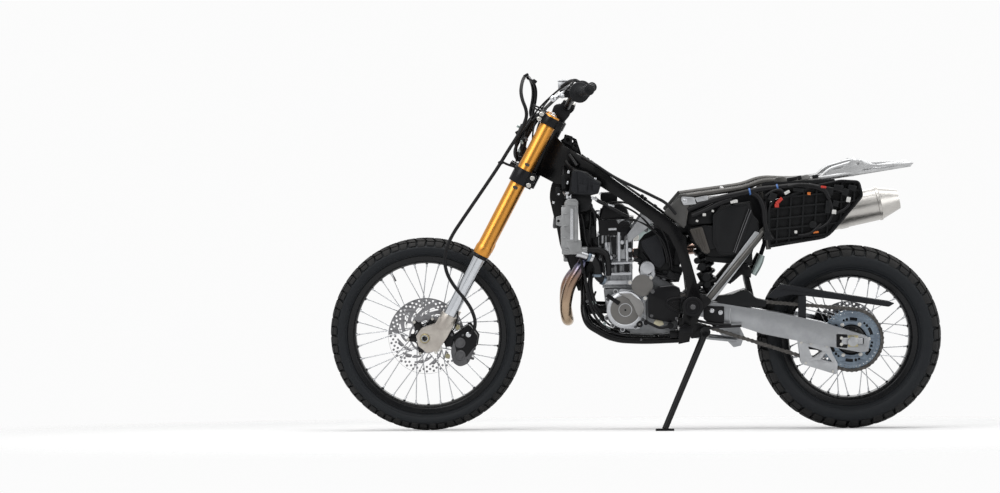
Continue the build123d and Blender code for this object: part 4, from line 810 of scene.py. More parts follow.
# Each CAD node's finish, and the width in millimetres by which its hard edges are rounded over, if they are.
CAD_NODES = {
    "steering_head": (frame_paint, 1.6), "left_spar": (frame_paint, 2.2), "right_spar": (frame_paint, 2.2),
    "frame_cross_members": (frame_paint, 0.8), "down_tube_and_cradle": (frame_paint, 1.6),
    "subframe_struts_and_ties": (rail_alloy_painted_shade, 0.8), "swingarm": (brushed_alloy, 1.4),
    "rear_axle_and_adjusters": (satin_alloy, 0.7), "crankcase": (engine_case, 1.2),
    "engine_side_covers": (engine_cover, 2.0), "starter_and_gear_cover": (engine_cover, 1.6),
    "cylinder": (head_alloy, 1.2), "cylinder_head": (head_alloy, 1.5), "cylinder_head_cover": (satin_black, 1.6),
    "throttle_body": (engine_dark, 0.8), "upper_clamp_and_risers": (clamp_black, 1.6),
    "lower_clamp_and_stem": (clamp_black, 1.6), "fork_outer_tubes": (gold, 0.9),
    "fork_axle_clamps": (warm_cast, 1.8), "handlebar_controls": (satin_black, 1.2),
    "front_caliper": (satin_black, 1.4), "front_hub": (rim_black, 0.8), "rear_hub": (rim_black, 0.8),
    "shock_absorber": (satin_black, 0.7), "suspension_linkage": (brushed_alloy, 1.0), "airbox": (moulded, 2.0),
    "electrical_parts": (moulded, 1.6), "inner_mud_flap": (moulded, 0.8), "foot_controls": (satin_black, 0.8),
    "rear_brake": (satin_black, 1.2), "side_stand": (satin_black, 0.8), "left_radiator": (radiator_alloy, 1.0),
    "right_radiator": (radiator_alloy, 1.0), "hand_levers": (satin_alloy, 0.5),
    "swingarm_pivot_bolt": (satin_black, 0.9), "left_subframe_rail": (rail_alloy_painted_shade, 0),
    "right_subframe_rail": (rail_alloy_painted_shade, 0), "fork_inner_tubes": (chrome, 0), "front_axle": (satin_alloy, 0),
    "handlebar": (satin_black, 0), "handlebar_grips": (grip_rubber, 0), "front_brake_hose": (hose_rubber, 0),
    "front_rim": (rim_black, 0), "front_spokes": (spoke_steel, 0), "front_tyre": (rubber, 0),
    "front_brake_disc": (front_disc_steel, 0), "rear_rim": (rim_black, 0), "rear_spokes": (spoke_steel, 0),
    "rear_tyre": (rubber, 0), "rear_brake_disc": (rear_disc_steel, 0), "rear_sprocket": (blue_zinc, 0),
    "front_sprocket": (dark_steel, 0), "chain": (chain_steel, 0), "chain_guards": (moulded, 0),
    "shock_spring": (spring_paint, 0), "tail_tray": (moulded, 0), "hoses_and_cables": (hose_rubber, 0),
    "exhaust_pipe": (heat_steel, 0), "muffler_and_bracket": (muffler_steel, 0),
}
for name, (material, _) in CAD_NODES.items():
    mesh = frame["nodes"][name].data
    mesh.materials.clear()
    mesh.materials.append(material)


# ---- wheels ----------------------------------------------------------------------------------------------------
TYRES = {
    "front": dict(centre=FRONT, radius=345.0, width=88.0, crown=50.0, bead=270.0, flange=282.5, bead_half=25.0,
                  pitches=32, depth=9.0, body="front_wheel", shift=0.0),
    "rear": dict(centre=REAR, radius=328.0, width=124.0, crown=75.0, bead=230.0, flange=242.5, bead_half=34.0,
                 pitches=22, depth=11.0, body="rear_wheel", shift=0.4),
}


def arc_points(a, b, c, count):
    """Points on the circle through three places."""
    ax, ay, bx, by, cx, cy = *a, *b, *c
    d = 2 * (ax * (by - cy) + bx * (cy - ay) + cx * (ay - by))
    ux = ((ax * ax + ay * ay) * (by - cy) + (bx * bx + by * by) * (cy - ay) + (cx * cx + cy * cy) * (ay - by)) / d
    uy = ((ax * ax + ay * ay) * (cx - bx) + (bx * bx + by * by) * (ax - cx) + (cx * cx + cy * cy) * (bx - ax)) / d
    centre = Vector((ux, uy))
    start, end = Vector(a) - centre, Vector(c) - centre
    low, high = math.atan2(start.y, start.x), math.atan2(end.y, end.x)
    mid = math.atan2(by - uy, bx - ux)
    span = (high - low) % (2 * math.pi)
    if (mid - low) % (2 * math.pi) > span:
        span -= 2 * math.pi
    radius = start.length
    return [centre + Vector(polar(radius, low + span * k / count)) for k in range(count + 1)]


class TyreSkin:
    """Outer section of a tyre from its centre line to the bead, read by distance along it."""

    def __init__(self, size):
        half, radius, crown = size["width"] / 2, size["radius"], size["crown"]
        angle = math.asin(0.86 * half / crown)
        edge = (radius - crown + crown * math.cos(angle), crown * math.sin(angle))
        wide = ((size["flange"] + edge[0]) / 2, half)
        tread = [Vector((radius - crown + crown * math.cos(angle * k / 14), crown * math.sin(angle * k / 14)))
            for k in range(15)]
        wall = arc_points(edge, wide, (size["flange"], size["bead_half"]), 14)
        self.points = tread + wall[1:]
        self.shoulder = crown * angle
        self.depth = size["depth"]
        self.lengths = [0.0]
        for a, b in zip(self.points, self.points[1:]):
            self.lengths.append(self.lengths[-1] + (b - a).length)

    def at(self, s, drop=0.0):
        """(radius, lateral) at a distance from the centre line, sunk into the tyre by a depth."""
        sign, s = (1.0 if s >= 0 else -1.0), min(abs(s), self.lengths[-1] - 0.01)
        i = max(k for k in range(len(self.lengths) - 1) if self.lengths[k] <= s)
        a, b = self.points[i], self.points[i + 1]
        t = (s - self.lengths[i]) / (self.lengths[i + 1] - self.lengths[i])
        place, along = a.lerp(b, t), (b - a).normalized()
        normal = Vector((along.y, -along.x))
        place = place - normal * drop
        return place.x, place.y * sign

    def groove(self, s):
        """Depth of the carcass under the tread's skin."""
        past = max(0.0, abs(s) - self.shoulder)
        fade = min(1.0, past / 17.0)
        return self.depth * (1.0 - fade * fade * (3 - 2 * fade))


def tread_block(bm, skin, corners, radius, steps=(4, 2), chamfer=1.3, tall=0.0):
    """Rubber block over four (s, run) corners, s across the tread and run along the crown in millimetres."""
    a, b, c, d = [Vector(p) for p in corners]
    span_s = max((b - a).length, (c - d).length)
    span_r = max((d - a).length, (c - b).length)
    inset_u, inset_v = min(0.3, chamfer / span_s), min(0.3, chamfer / span_r)
    us = [0.0, inset_u] + [inset_u + (1 - 2 * inset_u) * k / steps[0] for k in range(1, steps[0])] + [1 - inset_u,
        1.0]
    vs = [0.0, inset_v] + [inset_v + (1 - 2 * inset_v) * k / steps[1] for k in range(1, steps[1])] + [1 - inset_v,
        1.0]

    def spot(u, v, drop):
        p = (a * (1 - u) + b * u) * (1 - v) + (d * (1 - u) + c * u) * v
        r, y = skin.at(p.x, drop)
        angle = p.y / radius
        return bm.verts.new((*polar(r, angle), y))

    top = [[spot(u, v, (1.1 if u in (0.0, 1.0) or v in (0.0, 1.0) else 0.0) - tall) for v in vs] for u in us]
    for i in range(len(us) - 1):
        for j in range(len(vs) - 1):
            bm.faces.new((top[i][j], top[i + 1][j], top[i + 1][j + 1], top[i][j + 1]))
    rim = [(i, 0) for i in range(len(us))] + [(len(us) - 1, j) for j in range(1, len(vs))]
    rim += [(i, len(vs) - 1) for i in range(len(us) - 2, -1, -1)] + [(0, j) for j in range(len(vs) - 2, 0, -1)]
    foot = {}
    for i, j in rim:
        p = (a * (1 - us[i]) + b * us[i]) * (1 - vs[j]) + (d * (1 - us[i]) + c * us[i]) * vs[j]
        foot[(i, j)] = spot(us[i], vs[j], skin.groove(p.x) + 1.2)
    for k, (i, j) in enumerate(rim):
        m, n = rim[(k + 1) % len(rim)]
        bm.faces.new((top[m][n], top[i][j], foot[(i, j)], foot[(m, n)]))


def make_tyre(which):
    """A tyre's carcass with its bead lines, and the knobs of one pitch repeated round it."""
    size = TYRES[which]
    skin = TyreSkin(size)
    centre, radius = size["centre"], size["radius"]
    carcass = bmesh.new()
    reach = skin.lengths[-1]
    profile = [skin.at(reach * k / 26, skin.groove(reach * k / 26)) for k in range(-26, 27)]
    profile += [(size["bead"], size["bead_half"]), (size["bead"], -size["bead_half"])]
    hoop(carcass, [(r, -y) for r, y in profile], centre, LEFT, 160, WHEEL_UP)
    for line, offset in ((0.70, 0.9), (0.86, 1.2), (0.93, 0.8)):
        s = skin.shoulder + (reach - skin.shoulder) * line
        for sign in (-1, 1):
            r, y = skin.at(s * sign)
            ring_bead(carcass, centre, r, y, offset)
    put(which + "_tyre_carcass", carcass, rubber, size["body"], (which + "_tyre",), 50)
    pitch = 2 * math.pi * radius / size["pitches"]
    far = (skin.shoulder + (13 if which == "front" else 16)) / skin.shoulder
    template = bmesh.new()
    for sign in (1, -1):
        phase = 0 if sign > 0 else pitch * 0.5

        def corner(s, run):
            return (s * skin.shoulder * sign, run * pitch + phase)

        blocks = [
            ([corner(0.76, 0.02), corner(far, 0.10), corner(far, 0.44), corner(0.72, 0.46)], (5, 2)),
            ([corner(0.82, 0.54), corner(far * 0.93, 0.56), corner(far * 0.93, 0.92), corner(0.80, 0.94)], (4, 2)),
            ([corner(0.34, 0.16), corner(0.68, 0), corner(0.64, 0.44), corner(0.32, 0.56)], (4, 2)),
            ([corner(0.42, 0.64), corner(0.74, 0.52), corner(0.72, 0.90), corner(0.40, 1.06)], (4, 2)),
            ([corner(-0.08, 0.10), corner(0.27, 0.24), corner(0.26, 0.62), corner(-0.02, 0.50)], (4, 2)),
            ([corner(0.02, 0.60), corner(0.34, 0.70), corner(0.30, 0.94), corner(0.03, 0.96)], (4, 2)),
        ]
        for corners, cells in blocks:
            tread_block(template, skin, corners, radius, cells)
    knobs = bmesh.new()
    wheel_ring(knobs, template, size["pitches"], centre, size["shift"], knob_rubber)
    put(which + "_tyre_tread", knobs, knob_rubber, size["body"], smooth=30, recalc=False)


def ring_bead(bm, centre, radius, y, size):
    """Thin raised line round a tyre or rim."""
    hoop(bm, [(radius - size, -y - size), (radius + size, -y - size), (radius + size, -y + size),
        (radius - size, -y + size)], centre, LEFT, 120, up=WHEEL_UP)


make_tyre("front")
make_tyre("rear")


WHEELS = {
    "front": dict(centre=FRONT, inner=254.0, flange=281.0, half=28.0, hub_r=34.8, hub_y=38.5, body="front_wheel"),
    "rear": dict(centre=REAR, inner=213.0, flange=241.0, half=37.0, hub_r=53.8, hub_y=47.0, body="rear_wheel"),
}


def make_rim_and_spokes(which):
    """A rim with its nipple seats, laced spokes in four sets of nine, and the valve."""
    wheel = WHEELS[which]
    centre, inner, flange, half = wheel["centre"], wheel["inner"], wheel["flange"], wheel["half"]
    side = [(inner, -half * 0.34), (inner + 0.6, -half * 0.46), (inner + 4.5, -half * 0.66),
        (inner + 8.5, -half * 0.92), (inner + 12, -half + 0.7), (flange - 3.2, -half + 0.4), (flange - 2.4, -half),
        (flange, -half), (flange + 0.4, -half + 1.2), (flange - 0.6, -half + 2.8), (inner + 15, -half + 3.4),
        (inner + 12, -half * 0.62), (inner + 6, -half * 0.3)]
    rim = bmesh.new()
    lathe(rim, side + [(r, -y) for r, y in reversed(side)] + [side[0]], centre, LEFT, 180, up=WHEEL_UP)
    seats = bmesh.new()
    rod(seats, [(6.2, 0), (6, 2), (4.2, 4.4), (3.2, 5)], (inner + 1.2, 0, 0), (-1, 0, 0), 10, up=(0, 0, 1))
    wheel_ring(rim, seats, 36, centre, 0, rim_black)
    put(which + "_rim_profile", rim, rim_black, wheel["body"], (which + "_rim",), 40)
    spokes = bmesh.new()
    for left, hand, phase in ((1, 1, 0), (1, -1, 0.5), (-1, 1, 0.25), (-1, -1, 0.75)):
        at_hub = hand * math.radians(64)
        hub_end = Vector((*polar(wheel["hub_r"], at_hub), left * wheel["hub_y"] - hand * 2.5))
        rim_end = Vector((inner - 0.6, 0, left * 9))
        along = (hub_end - rim_end).normalized()
        template = bmesh.new()
        elbow = hub_end + Vector((0, 0, -left * 4))
        tube(template, [rim_end, hub_end - along * 3, hub_end, elbow], 1.8, 8, 0.4, 3)
        rod(template, [(3.4, 0), (3.4, 0.9), (2.7, 2)], elbow, (0, 0, -left), 8)
        rod(template, [(3.9, -2), (3.5, 3.5), (3.1, 4.4), (2.9, 13.5), (2.2, 15)], rim_end, along, 8)
        wheel_ring(spokes, template, 9, centre, 2 * math.pi * phase / 9, spoke_steel)
    put(which + "_laced_spokes", spokes, spoke_steel, wheel["body"], (which + "_spokes",), 50, False)
    build(which + "_valve", dark_steel, [(rod, [(6.4, -2), (6.4, 1.6), (4.2, 3), (4.2, 24), (3.4, 26), (3.4, 34)],
        centre + Vector((inner * math.cos(2.1), 0, inner * math.sin(2.1))), (-math.cos(2.1), 0, -math.sin(2.1)),
        12)], wheel["body"])


def spiral_slot(start_radius, end_radius, start_angle, sweep, width, steps=8):
    """Curved slot outline that turns clockwise as it runs outward."""
    inner, outer = [], []
    for k in range(steps + 1):
        t = k / steps
        radius = start_radius + (end_radius - start_radius) * t
        angle = start_angle - sweep * t
        taper = width / 2 * (0.55 + 0.45 * math.sin(math.pi * (0.12 + 0.76 * t)))
        outward = Vector(polar(1, angle))
        along = outward * (end_radius - start_radius) - Vector((-outward.y, outward.x)) * sweep * radius
        across = Vector((-along.y, along.x)).normalized() * taper
        at = outward * radius
        inner.append(at + across)
        outer.append(at - across)
    return inner + outer[::-1]


def ring_sector(low, high, start, end, rounding=2.5, steps=6):
    """Closed outline of a piece of a ring between two radii and two angles."""
    points = [polar(low, start + (end - start) * k / steps) for k in range(steps + 1)]
    points += [polar(high, end + (start - end) * k / steps) for k in range(steps + 1)]
    return shape_outline(points, rounding, 2)


def circle_at(radius, angle, size, sides=14):
    return disc_outline(polar(radius, angle), size, sides)


def make_front_disc():
    """Drilled and slotted rotor with its carrier and buttons."""
    outlines = [disc_outline((0, 0), 135, 180), disc_outline((0, 0), 60.5, 72)]
    for k in range(32):
        for radius, phase in ((126.5, 0), (118.5, 0.5), (110.5, 0)):
            if radius < 112 and k % 4 == 3:
                continue
            outlines.append(circle_at(radius, 2 * math.pi * (k + phase) / 32, 3.7))
    for k in range(24):
        start = 2 * math.pi * k / 24
        if k % 2:
            outlines.append(spiral_slot(73, 90, start, 0.34, 6.4))
            outlines.append(spiral_slot(93.5, 103, start - 0.40, 0.16, 6.4, 4))
        else:
            outlines.append(spiral_slot(78, 84, start + 0.06, 0.12, 6, 4))
            outlines.append(spiral_slot(87, 103, start - 0.13, 0.30, 6.4))
    bolt_angles = [math.radians(10 + 60 * k) for k in range(6)]
    tabs = [disc_outline((0, 0), 61.5, 72), disc_outline((0, 0), 55, 72)]
    build("front_brake_rotor", front_disc_steel, [
        (plate, outlines, 4.6, lateral(-55, *FRONT.xz), 0.35),
        (plate, tabs, 4.6, lateral(-55, *FRONT.xz), 0.3)], "front_wheel", ("front_brake_disc",), 30)
    rim = []
    for k in range(6):
        start = bolt_angles[k]
        for step, radius in ((-0.17, 57), (-0.09, 69), (0.09, 69), (0.17, 57), (0.30, 46), (0.75, 46)):
            rim.append(polar(radius, start + step))
    windows = [ring_sector(33, 41, bolt_angles[k] + 0.30, bolt_angles[k] + 0.76, 3) for k in range(6)]
    build("front_disc_carrier", rim_black, [
        (plate, [shape_outline(rim, 6, 3), disc_outline((0, 0), 17, 32)] + windows, 5, lateral(-58.2, *FRONT.xz),
             0.8),
        (hoop, [(30, 36), (33, 38), (33, 55), (30, 60), (26, 62), (17, 62), (17, 36)], FRONT, LEFT, 48, WHEEL_UP)],
        "front_wheel", smooth=30)
    buttons = [(around(FRONT, 65.5, a, -60.6), LEFT, 1.35) for a in bolt_angles]
    cap_bolts("front_disc_bolts", buttons, bolt_zinc, "front_wheel")


def make_rear_disc():
    """Drilled rear rotor with its bolts."""
    outlines = [disc_outline((0, 0), 120, 150), disc_outline((0, 0), 30, 40)]
    for k in range(28):
        for radius, phase in ((112, 0), (103, 0.5)):
            outlines.append(circle_at(radius, 2 * math.pi * (k + phase) / 28, 3.9))
    for k in range(6):
        start = math.radians(60 * k + 8)
        outlines.append(ring_sector(44, 82, start, start + 0.30, 5))
        outlines.append(ring_sector(52, 86, start + 0.44, start + 0.74, 5))
    build("rear_brake_rotor", rear_disc_steel, [(plate, outlines, 4.8, lateral(66, *REAR.xz), 0.35)], "rear_wheel",
        ("rear_brake_disc",), 30)
    heads = [(around(REAR, 37, a, 68.2), -LEFT, 1.1) for a in circle(6)]
    cap_bolts("rear_disc_bolts", heads, bolt_zinc, "rear_wheel")


CHAIN_Y, PITCH, FRONT_TEETH, REAR_TEETH = -88.0, 15.875, 14, 43
COUNTERSHAFT = Vector((101.0, 0.0, 459.0))
FRONT_PITCH_R = PITCH / 2 / math.sin(math.pi / FRONT_TEETH)
REAR_PITCH_R = PITCH / 2 / math.sin(math.pi / REAR_TEETH)


def sprocket_outline(teeth, pitch_radius, phase=0.0):
    """Toothed rim: root pockets for the rollers between rounded tips."""
    points = []
    for k in range(teeth):
        middle = 2 * math.pi * (k + phase) / teeth
        step = 2 * math.pi / teeth
        for share, radius in ((-0.30, -3.4), (-0.16, -5.0), (0.0, -5.4), (0.16, -5.0), (0.30, -3.4), (0.41, 1.2),
                (0.46, 3.9), (0.54, 3.9), (0.59, 1.2)):
            angle = middle + step * share
            points.append(Vector(polar(pitch_radius + radius, angle)))
    return points


def make_sprockets():
    """Both sprockets, the rear hub's drum and their fastenings."""
    outlines = [sprocket_outline(REAR_TEETH, REAR_PITCH_R), disc_outline((0, 0), 54, 72)]
    for k in range(6):
        start = math.radians(60 * k + 14)
        outlines.append(ring_sector(68, 79, start, start + 0.36, 4))
        outlines += [circle_at(73.5, start + 0.36 + 0.14, 5), circle_at(73.5, start + 0.36 + 0.30, 4.2)]
        outlines.append(circle_at(63.5, start - 0.16, 3))
    for k in range(REAR_TEETH):
        outlines.append(circle_at(96, 2 * math.pi * (k + 0.5) / REAR_TEETH, 1.7, 8))
    build("rear_sprocket_toothed", blue_zinc, [
        (plate, outlines, 6.6, lateral(CHAIN_Y, *REAR.xz), 0.5),
        *((plate, [disc_outline((0, 0), radius + width, 120), disc_outline((0, 0), radius - width, 120)],
             6.6 + 2 * lift, lateral(CHAIN_Y, *REAR.xz), 0.6) for radius, width, lift in ((88.5, 1.6, 0.9),
             (56.5, 1.8, 0.9)))], "rear_wheel", ("rear_sprocket",), 30)
    heads = [(around(REAR, 61, a + math.radians(2), CHAIN_Y - 4), LEFT, 1.15) for a in circle(6)]
    hex_bolts("rear_sprocket_nuts", heads, bolt_zinc, "rear_wheel")
    build("rear_hub_drum", rim_black,
        [(rod, [(20, 0), (22, -3), (30, -3.5), (47, -3), (50.5, -1), (53.5, 2), (53.5, 8)], REAR + LEFT * 85,
        -LEFT, 72, WHEEL_UP)], "rear_wheel", smooth=30)
    holes = [(around(REAR, 38, a + math.radians(20), -90.2), LEFT, 0.9) for a in circle(8)]
    cap_bolts("rear_hub_screws", holes, dark_steel, "rear_wheel")
    build("front_sprocket_toothed", dark_steel, [
        (plate, [sprocket_outline(FRONT_TEETH, FRONT_PITCH_R), disc_outline((0, 0), 10.5, 24)], 7,
             lateral(CHAIN_Y, *COUNTERSHAFT.xz), 0.5),
        (rod, [(11, 70), (11, 99), (9.5, 100.5)], COUNTERSHAFT, LEFT, 24)],
        replaces=("front_sprocket",), smooth=30)


def chain_path():
    """Dense closed line of the chain round both sprockets."""
    delta = REAR - COUNTERSHAFT
    delta.y = 0
    base, span = math.atan2(delta.z, delta.x), delta.length
    spread = math.acos((FRONT_PITCH_R - REAR_PITCH_R) / span)
    high, low = base + spread, base - spread
    points = []

    def on(centre, radius, angle):
        return around(centre, radius, angle, CHAIN_Y)

    a, b = on(COUNTERSHAFT, FRONT_PITCH_R, high), on(REAR, REAR_PITCH_R, high)
    c, d = on(REAR, REAR_PITCH_R, low), on(COUNTERSHAFT, FRONT_PITCH_R, low)
    points += [a.lerp(b, k / 60) for k in range(60)]
    turn = (high - low)
    points += [on(REAR, REAR_PITCH_R, high - turn * k / 80) for k in range(80)]
    points += [c.lerp(d, k / 60) for k in range(60)]
    rest = 2 * math.pi - turn
    points += [on(COUNTERSHAFT, FRONT_PITCH_R, low - rest * k / 30) for k in range(30)]
    return points + [points[0]]


def make_chain():
    """Inner and outer links set along the closed path at one pitch."""
    path = chain_path()
    lengths = [0]
    for a, b in zip(path, path[1:]):
        lengths.append(lengths[-1] + (b - a).length)
    count = 2 * round(lengths[-1] / PITCH / 2)
    pins, i = [], 0
    for k in range(count):
        want = lengths[-1] * k / count
        while lengths[i + 1] < want:
            i += 1
        pins.append(path[i].lerp(path[i + 1], (want - lengths[i]) / (lengths[i + 1] - lengths[i])))
    half = PITCH / 2
    pair = {}
    for kind, plate_y, wide in (("inner", 5.2, 6.9), ("outer", 7.6, 6.4)):
        bm = bmesh.new()
        outline = []
        for sign in (1, -1):
            end = Vector((half * sign, 0))
            outline += [end + Vector(polar(wide * sign, math.pi * (k / 12 - 0.5))) for k in range(13)]
            outline.append(Vector((0, wide * 0.72 * sign)))
        for side in (-1, 1):
            local = Matrix(((0, 0, 1, side * plate_y), (0, 1, 0, 0), (1, 0, 0, 0), (0, 0, 0, 1)))
            plate(bm, [outline], 2, local, 0.35)
        for end in (-half, half):
            if kind == "inner":
                rod(bm, [(5, -4.4), (5, 4.4)], (0, 0, end), (1, 0, 0), 12)
            else:
                rod(bm, [(2.4, -9.8), (2.8, -9.2), (2.8, 9.2), (2.4, 9.8)], (0, 0, end), (1, 0, 0), 10)
        bmesh.ops.recalc_face_normals(bm, faces=bm.faces)
        pair[kind] = bm
    for offset, kind in ((0, "inner"), (1, "outer")):
        rows = []
        for k in range(offset, count, 2):
            a, b = pins[k], pins[(k + 1) % count]
            rows.append(((a + b) / 2, b - a, 1, (0, 1, 0)))
        made = copies_at("chain_" + kind + "_links", pair[kind], rows, chain_steel, "chassis")
        if kind == "inner":
            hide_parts("chain")


for which in WHEELS:
    make_rim_and_spokes(which)
make_front_disc()
make_rear_disc()
make_sprockets()
make_chain()

for name, (material, width) in CAD_NODES.items():
    if width:
        softened(name, material, width)


# ---- shared small pieces ---------------------------------------------------------------------------------------
def wire(name, runs, radius, material=None, body="chassis", sides=10, rounding=0.48):
    """One or more cables along given points."""
    bm = bmesh.new()
    for points in runs:
        tube(bm, points, radius, sides, rounding, 5)
    put(name, bm, material or hose_rubber, body, smooth=60.0, recalc=False)


# ---- fork, clamps and bars ---------------------------------------------------------------------------------------
def make_fork_details():
    """Wipers, collars, caps, painted clamp reflections on the gold tubes, clamp ears and the axle's rings."""
    seals = bmesh.new()
    caps = bmesh.new()
    rims = bmesh.new()
    for side in (-1, 1):
        foot = fork_point(0, LEG_AHEAD, side * LEG_Y)
        rod(seals, [(26, 338), (28.6, 341), (28.6, 350), (27.6, 352), (27.6, 354)], foot, STEER_UP, 40)
        hoop(rims, [(27.2, 354), (28.4, 356), (28.4, 366), (27.2, 369), (27, 372), (27, 354)], foot, STEER_UP, 48)
        rod(rims, [(27, 888), (27.4, 890), (27.4, 896), (25.6, 898.5), (21, 898.5), (20, 896)], foot, STEER_UP, 48)
        rod(caps, [(15.5, 895), (15.5, 901), (13.5, 903)], foot, STEER_UP, 6)
        rod(caps, [(8, 902), (8, 909), (6.8, 910.5), (2.4, 910.5), (1.8, 909)], foot, STEER_UP, 24)
    put("fork_wipers", seals, hose_rubber, "steering")
    put("fork_gold_collars", rims, gold, "steering", smooth=40)
    put("fork_caps", caps, spoke_steel, "steering")
    # Painted reflections: dark ovals on the left gold tube where the clamps are reflected.
    marks = bmesh.new()
    for up in (708, 618):
        spot = fork_point(up, LEG_AHEAD, LEG_Y) + LEFT * 28.6
        oval = [fork_point(up + high, LEG_AHEAD + wide) for high, wide in ((-5, -9), (-5, 9), (5, 9), (5, -9))]
        slab(marks, [(at.x, at.z) for at in oval], spot.y + 4, spot.y - 1.2, 4.5, 0.5)
    put("fork_marks", marks, brown_moulded, "steering")
    rows, stubs = [], bmesh.new()
    for side in (-1, 1):
        out = LEFT * side
        for up, ahead in ((869, 58), (888, 58), (646, -16), (674, -16)):
            at = fork_point(up, ahead, side * LEG_Y)
            rod(stubs, [(9.4, -22), (9.4, 24), (8, 26)], at, out, 22)
            rows.append((at + out * 26, out, 1.35))
        flange = [fork_point(up, ahead) for up, ahead in ((862, 40), (862, 66), (868, 70), (890, 70), (896, 64),
            (896, 40))]
        slab(stubs, [(at.x, at.z) for at in flange], -side * 92, -side * 128, 3, 1.5)
        flange = [fork_point(up, ahead) for up, ahead in ((636, 0), (636, -24), (642, -28), (680, -28), (686, -22),
            (686, 0))]
        slab(stubs, [(at.x, at.z) for at in flange], -side * 92, -side * 128, 3, 1.5)
        rows += [(fork_point(up, ahead, side * LEG_Y) + out * 22, out, 1) for up, ahead in ((-26, 4), (-6, -6))]
    put("clamp_ears", stubs, clamp_black, "steering")
    hex_bolts("clamp_bolts", rows, bolt_zinc, "steering")
    band = bmesh.new()
    for side in (-1, 1):
        centre = fork_point(0, LEG_AHEAD, side * LEG_Y)
        for up in (636, 686):
            hoop(band, [(33.2, up - 1.2), (34.8, up - 1.2), (34.8, up + 1.2), (33.2, up + 1.2)], centre, STEER_UP, 40)
    put("clamp_lips", band, clamp_black, "steering")
    axle = bmesh.new()
    for side in (-1, 1):
        at = FRONT + LEFT * side * 126
        hoop(axle, [(9, -6), (12.6, -6), (16.6, 0), (16.6, 6), (15, 8), (10.2, 8), (9, 6.5)], at, LEFT * side, 36)
    put("front_axle_rings", axle, yellow_zinc, "steering", smooth=40)


def bar_end(side):
    """A bar end and the direction of the grip from it."""
    end, knee = Vector((-163, -side * 410, 1216)), Vector((-222, -side * 228, 1199))
    return end, (knee - end).normalized()


def make_bar_details():
    """Grips, levers, clamps, switches, risers and the brake reservoir."""
    grips = bmesh.new()
    ends = bmesh.new()
    for side in (-1, 1):
        end, along = bar_end(side)
        profile = [(0, -1), (12, -1), (17.5, 0.5), (18.4, 2.5), (18.4, 6), (16.4, 8)]
        for k in range(22):
            at = 9 + k * 4.5
            profile += [(15.2, at), (16.7, at + 0.8), (16.7, at + 2.9), (15.2, at + 3.7)]
        profile += [(17, 106), (23, 109.5), (33.5, 112), (35.5, 115), (34.5, 119.5), (26, 122.5), (20, 124.5),
            (0, 124.5)]
        lathe(grips, profile, end, along, 40)
        rod(ends, [(5, -6), (6.2, -5.2), (6.2, -3.4), (10.6, -3.4), (12.6, -2.2), (12.6, 1)], end, along, 28)
    put("ribbed_grips", grips, grip_rubber, "steering", ("handlebar_grips",), 40)
    put("bar_ends", ends, moulded, "steering")
    perch = bmesh.new()
    for side in (-1, 1):
        end, along = bar_end(side)
        for at, wide, r in ((132, 16, 17.5), (160, 26, 19)):
            rod(perch, [(r - 1.5, at), (r, at + 1.5), (r, at + wide - 1.5), (r - 1.5, at + wide)], end, along, 32)
    put("control_clamps", perch, satin_black, "steering")
    ball = bmesh.new()
    for side in (-1, 1):
        at = Vector((-285, -side * 398, 1187))
        hoop(ball, [(3, -8.5), (7.6, -8), (10.4, -4.5), (11.2, 0), (10.4, 4.5), (7.6, 8), (3, 8.5), (2.6, 6.5),
            (2.6, -6.5)], at, LEFT, 28)
        tube(ball, [at + Vector((4, side * 4, 2)), (-272, -side * 360, 1193), (-262, -side * 300, 1202),
            (-252, -side * 262, 1206)], 5.6, 14, 0.45, 4)
    put("lever_blades", ball, spoke_steel, "steering", smooth=50)
    rows = []
    for side in (-1, 1):
        for step in (-15, 15):
            for back in (-16, 16):
                rows.append((fork_point(966, -9 + back, side * 46 + step), STEER_UP, 0.9))
    hex_bolts("riser_cap_bolts", rows, bolt_zinc, "steering")
    build("riser_caps", clamp_black,
        [*(row for side in (-1, 1) for row in ((box, fork_point(959, -9, side * 46), (46, 42, 13),
        axes(STEER_UP, STEER_AHEAD), 3), (slab, [(-301, 1136), (-291, 1160), (-250, 1164), (-228, 1156),
        (-240, 1118), (-270, 1084)], -side * 27, -side * 65, 9, 2.5)))], "steering")
    build("switch_boxes", moulded,
        [*(row for side in (-1, 1) for row in ((box, (-206, -side * 272, 1196), (40, 30, 44), 0, 6),
        (box, (-218, -side * 276, 1224), (18, 22, 12), 0, 3)))], "steering")
    build("front_brake_reservoir", satin_alloy, [
        (box, (-264.8, 207.5, 1222.5), (39, 53, 35), 0, 5),
        (box, (-264.8, 207.5, 1240.5), (42, 56, 6), 0, 2.4),
        *((rod, [(3.4, 0), (3.4, 1.6), (2.6, 2.4)], (-264.8, 207.5 + corner, 1243), UP, 16) for corner
             in (-19, 19))], "steering", smooth=40)
    build("horn_button", red_plastic, [(rod, [(5.5, 0), (5.5, 5), (4.5, 6)], (-190, -272, 1178),
        (0.6, -0.2, -0.75), 18)], "steering")


